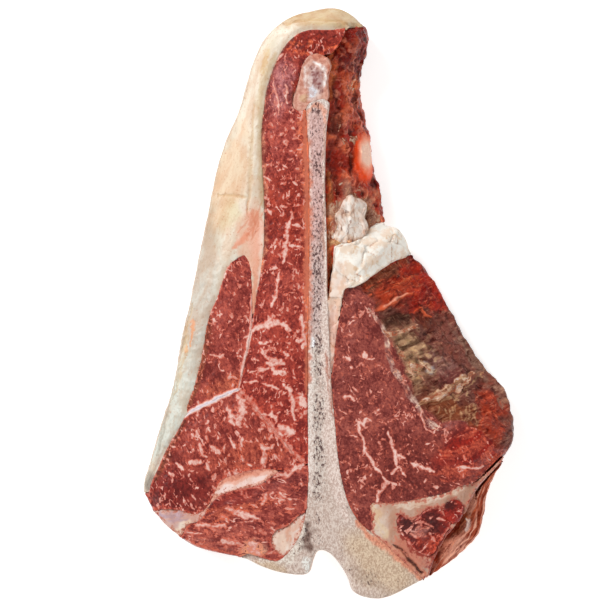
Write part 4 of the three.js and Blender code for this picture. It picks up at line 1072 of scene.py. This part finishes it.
# Painted shadow where the meat falls away steeply beside the bone.
flank.paint(0x6A2618, 0.9 * flank.patch(3.4, 78, 2.6, 5, 0, 0.6))
flank.paint(0x923020, 0.7 * flank.patch(7, 52, 6, 3.4, 0, 0.6))
flank.paint(0x9A2010, 0.8 * flank.patch(5, 62, 4, 5, 0, 0.6))
flank.paint(0xD6A678, flank.patch(5, 27, 4, 2, 10))
flank.paint(0xC8AC94, 0.7 * flank.patch(10, 38, 8, 10, 0, 0.6))
flank.paint(0xB07E66, 0.8 * flank.patch(18.6, 38, 2.6, 7, 0, 0.6))
SUET_FIBRES = (stray_flecks(77, 26, (0.6, 28, 4.4, 42), 4, 0.7, 84, 10)
               + stray_flecks(78, 14, (5, 42, 15, 49), 3, 0.6, 80, 25)
               + stray_flecks(79, 12, (16, 30, 22, 46), 3, 0.6, 84, 14))
suet_fibre = flank.near(SUET_FIBRES, 0.6, 0.5)
flank.paint(0xF0D8C4, 0.8 * suet_fibre)
MEMBRANES = (stray_flecks(89, 40, (4, 56, 14, 98), 4, 0.9, 84, 28)
             + stray_flecks(90, 20, (2, 44, 18, 56), 3, 0.9, 60, 50)
             + stray_flecks(91, 14, (0, 98, 14, 118), 4, 1.0, -60, 40))
membranes = flank.near(MEMBRANES, 0.6, 0.6)
flank.paint(0xE0826A, 0.5 * membranes)
# Painted highlights: GLINTS are white specks of wet shine, laid in through the fat value so that they show pale.
GLINTS = (stray_flecks(67, 7, (4, 72, 9, 80), 1.8, 0.5, -62, 20)
          + stray_flecks(68, 10, (9, 70, 12, 74), 1.6, 0.6, -60, 30)
          + stray_flecks(69, 4, (10, 94, 12, 99), 2.0, 0.5, 80, 15)
          + stray_flecks(72, 8, (2, 46, 18, 53), 1.0, 0.5, 60, 60)
          + stray_flecks(73, 5, (-8, 109, 6, 114), 1.6, 0.6, 0, 40))
glint = flank.near(GLINTS, 0.5, 0.5)
ORANGE_STREAKS = (stray_flecks(75, 16, (-4, 98, 10, 113), 3.4, 1.2, -50, 40)
                  + stray_flecks(76, 14, (10, 74, 15, 96), 3.4, 1.2, 80, 20))
flank.paint(0xC8502E, 0.6 * flank.near(ORANGE_STREAKS, 0.5, 0.6))
x, y = flank.points[:, :2].T
uneven = 0.16 * flank.grain(3, 33)
spot = np.clip((1.2 + uneven - np.hypot((x - 16 + (y - 64) / 14) / 4.6, (y - 64) / 10.5)) / 0.35, 0, 1)
# The spot's pale core is partly the fat's own lighter centre and partly a painted highlight of its shine.
spot_core_and_shine = np.clip((1.1 + uneven - np.hypot((x - 16.8 + (y - 66) / 14) / 3.8, (y - 66) / 9)) / 0.6, 0, 1)
above_table = np.clip((flank.points[:, 2] - 7) / 4, 0, 1)
spot, spot_core_and_shine = spot * above_table, spot_core_and_shine * above_table
flank.paint(0xF85020, spot)
flank.paint(0xFF9464, spot_core_and_shine)
flank.paint(0xFFD4BE, 0.9 * spot_core_and_shine ** 2)
# The fat value carries the painted highlights of the glints and the pale suet fibres.
flank.fat = np.maximum(1.4 * glint, 1.2 * suet_fibre) * (1 - spot)
flank.calm = spot
flank.raise_by((1.8 * lumps + 0.35 * flank.grain(1.3, 8)) * (1 - spot) + 0.3 * membranes)
flank.points[:, 2] += 0.8 * spot + 1.6 * spot_core_and_shine
flank.finish(dried_meat("peeled belly side", 70, 0.16, 3.0, 1.4, 0.3, 0.12))
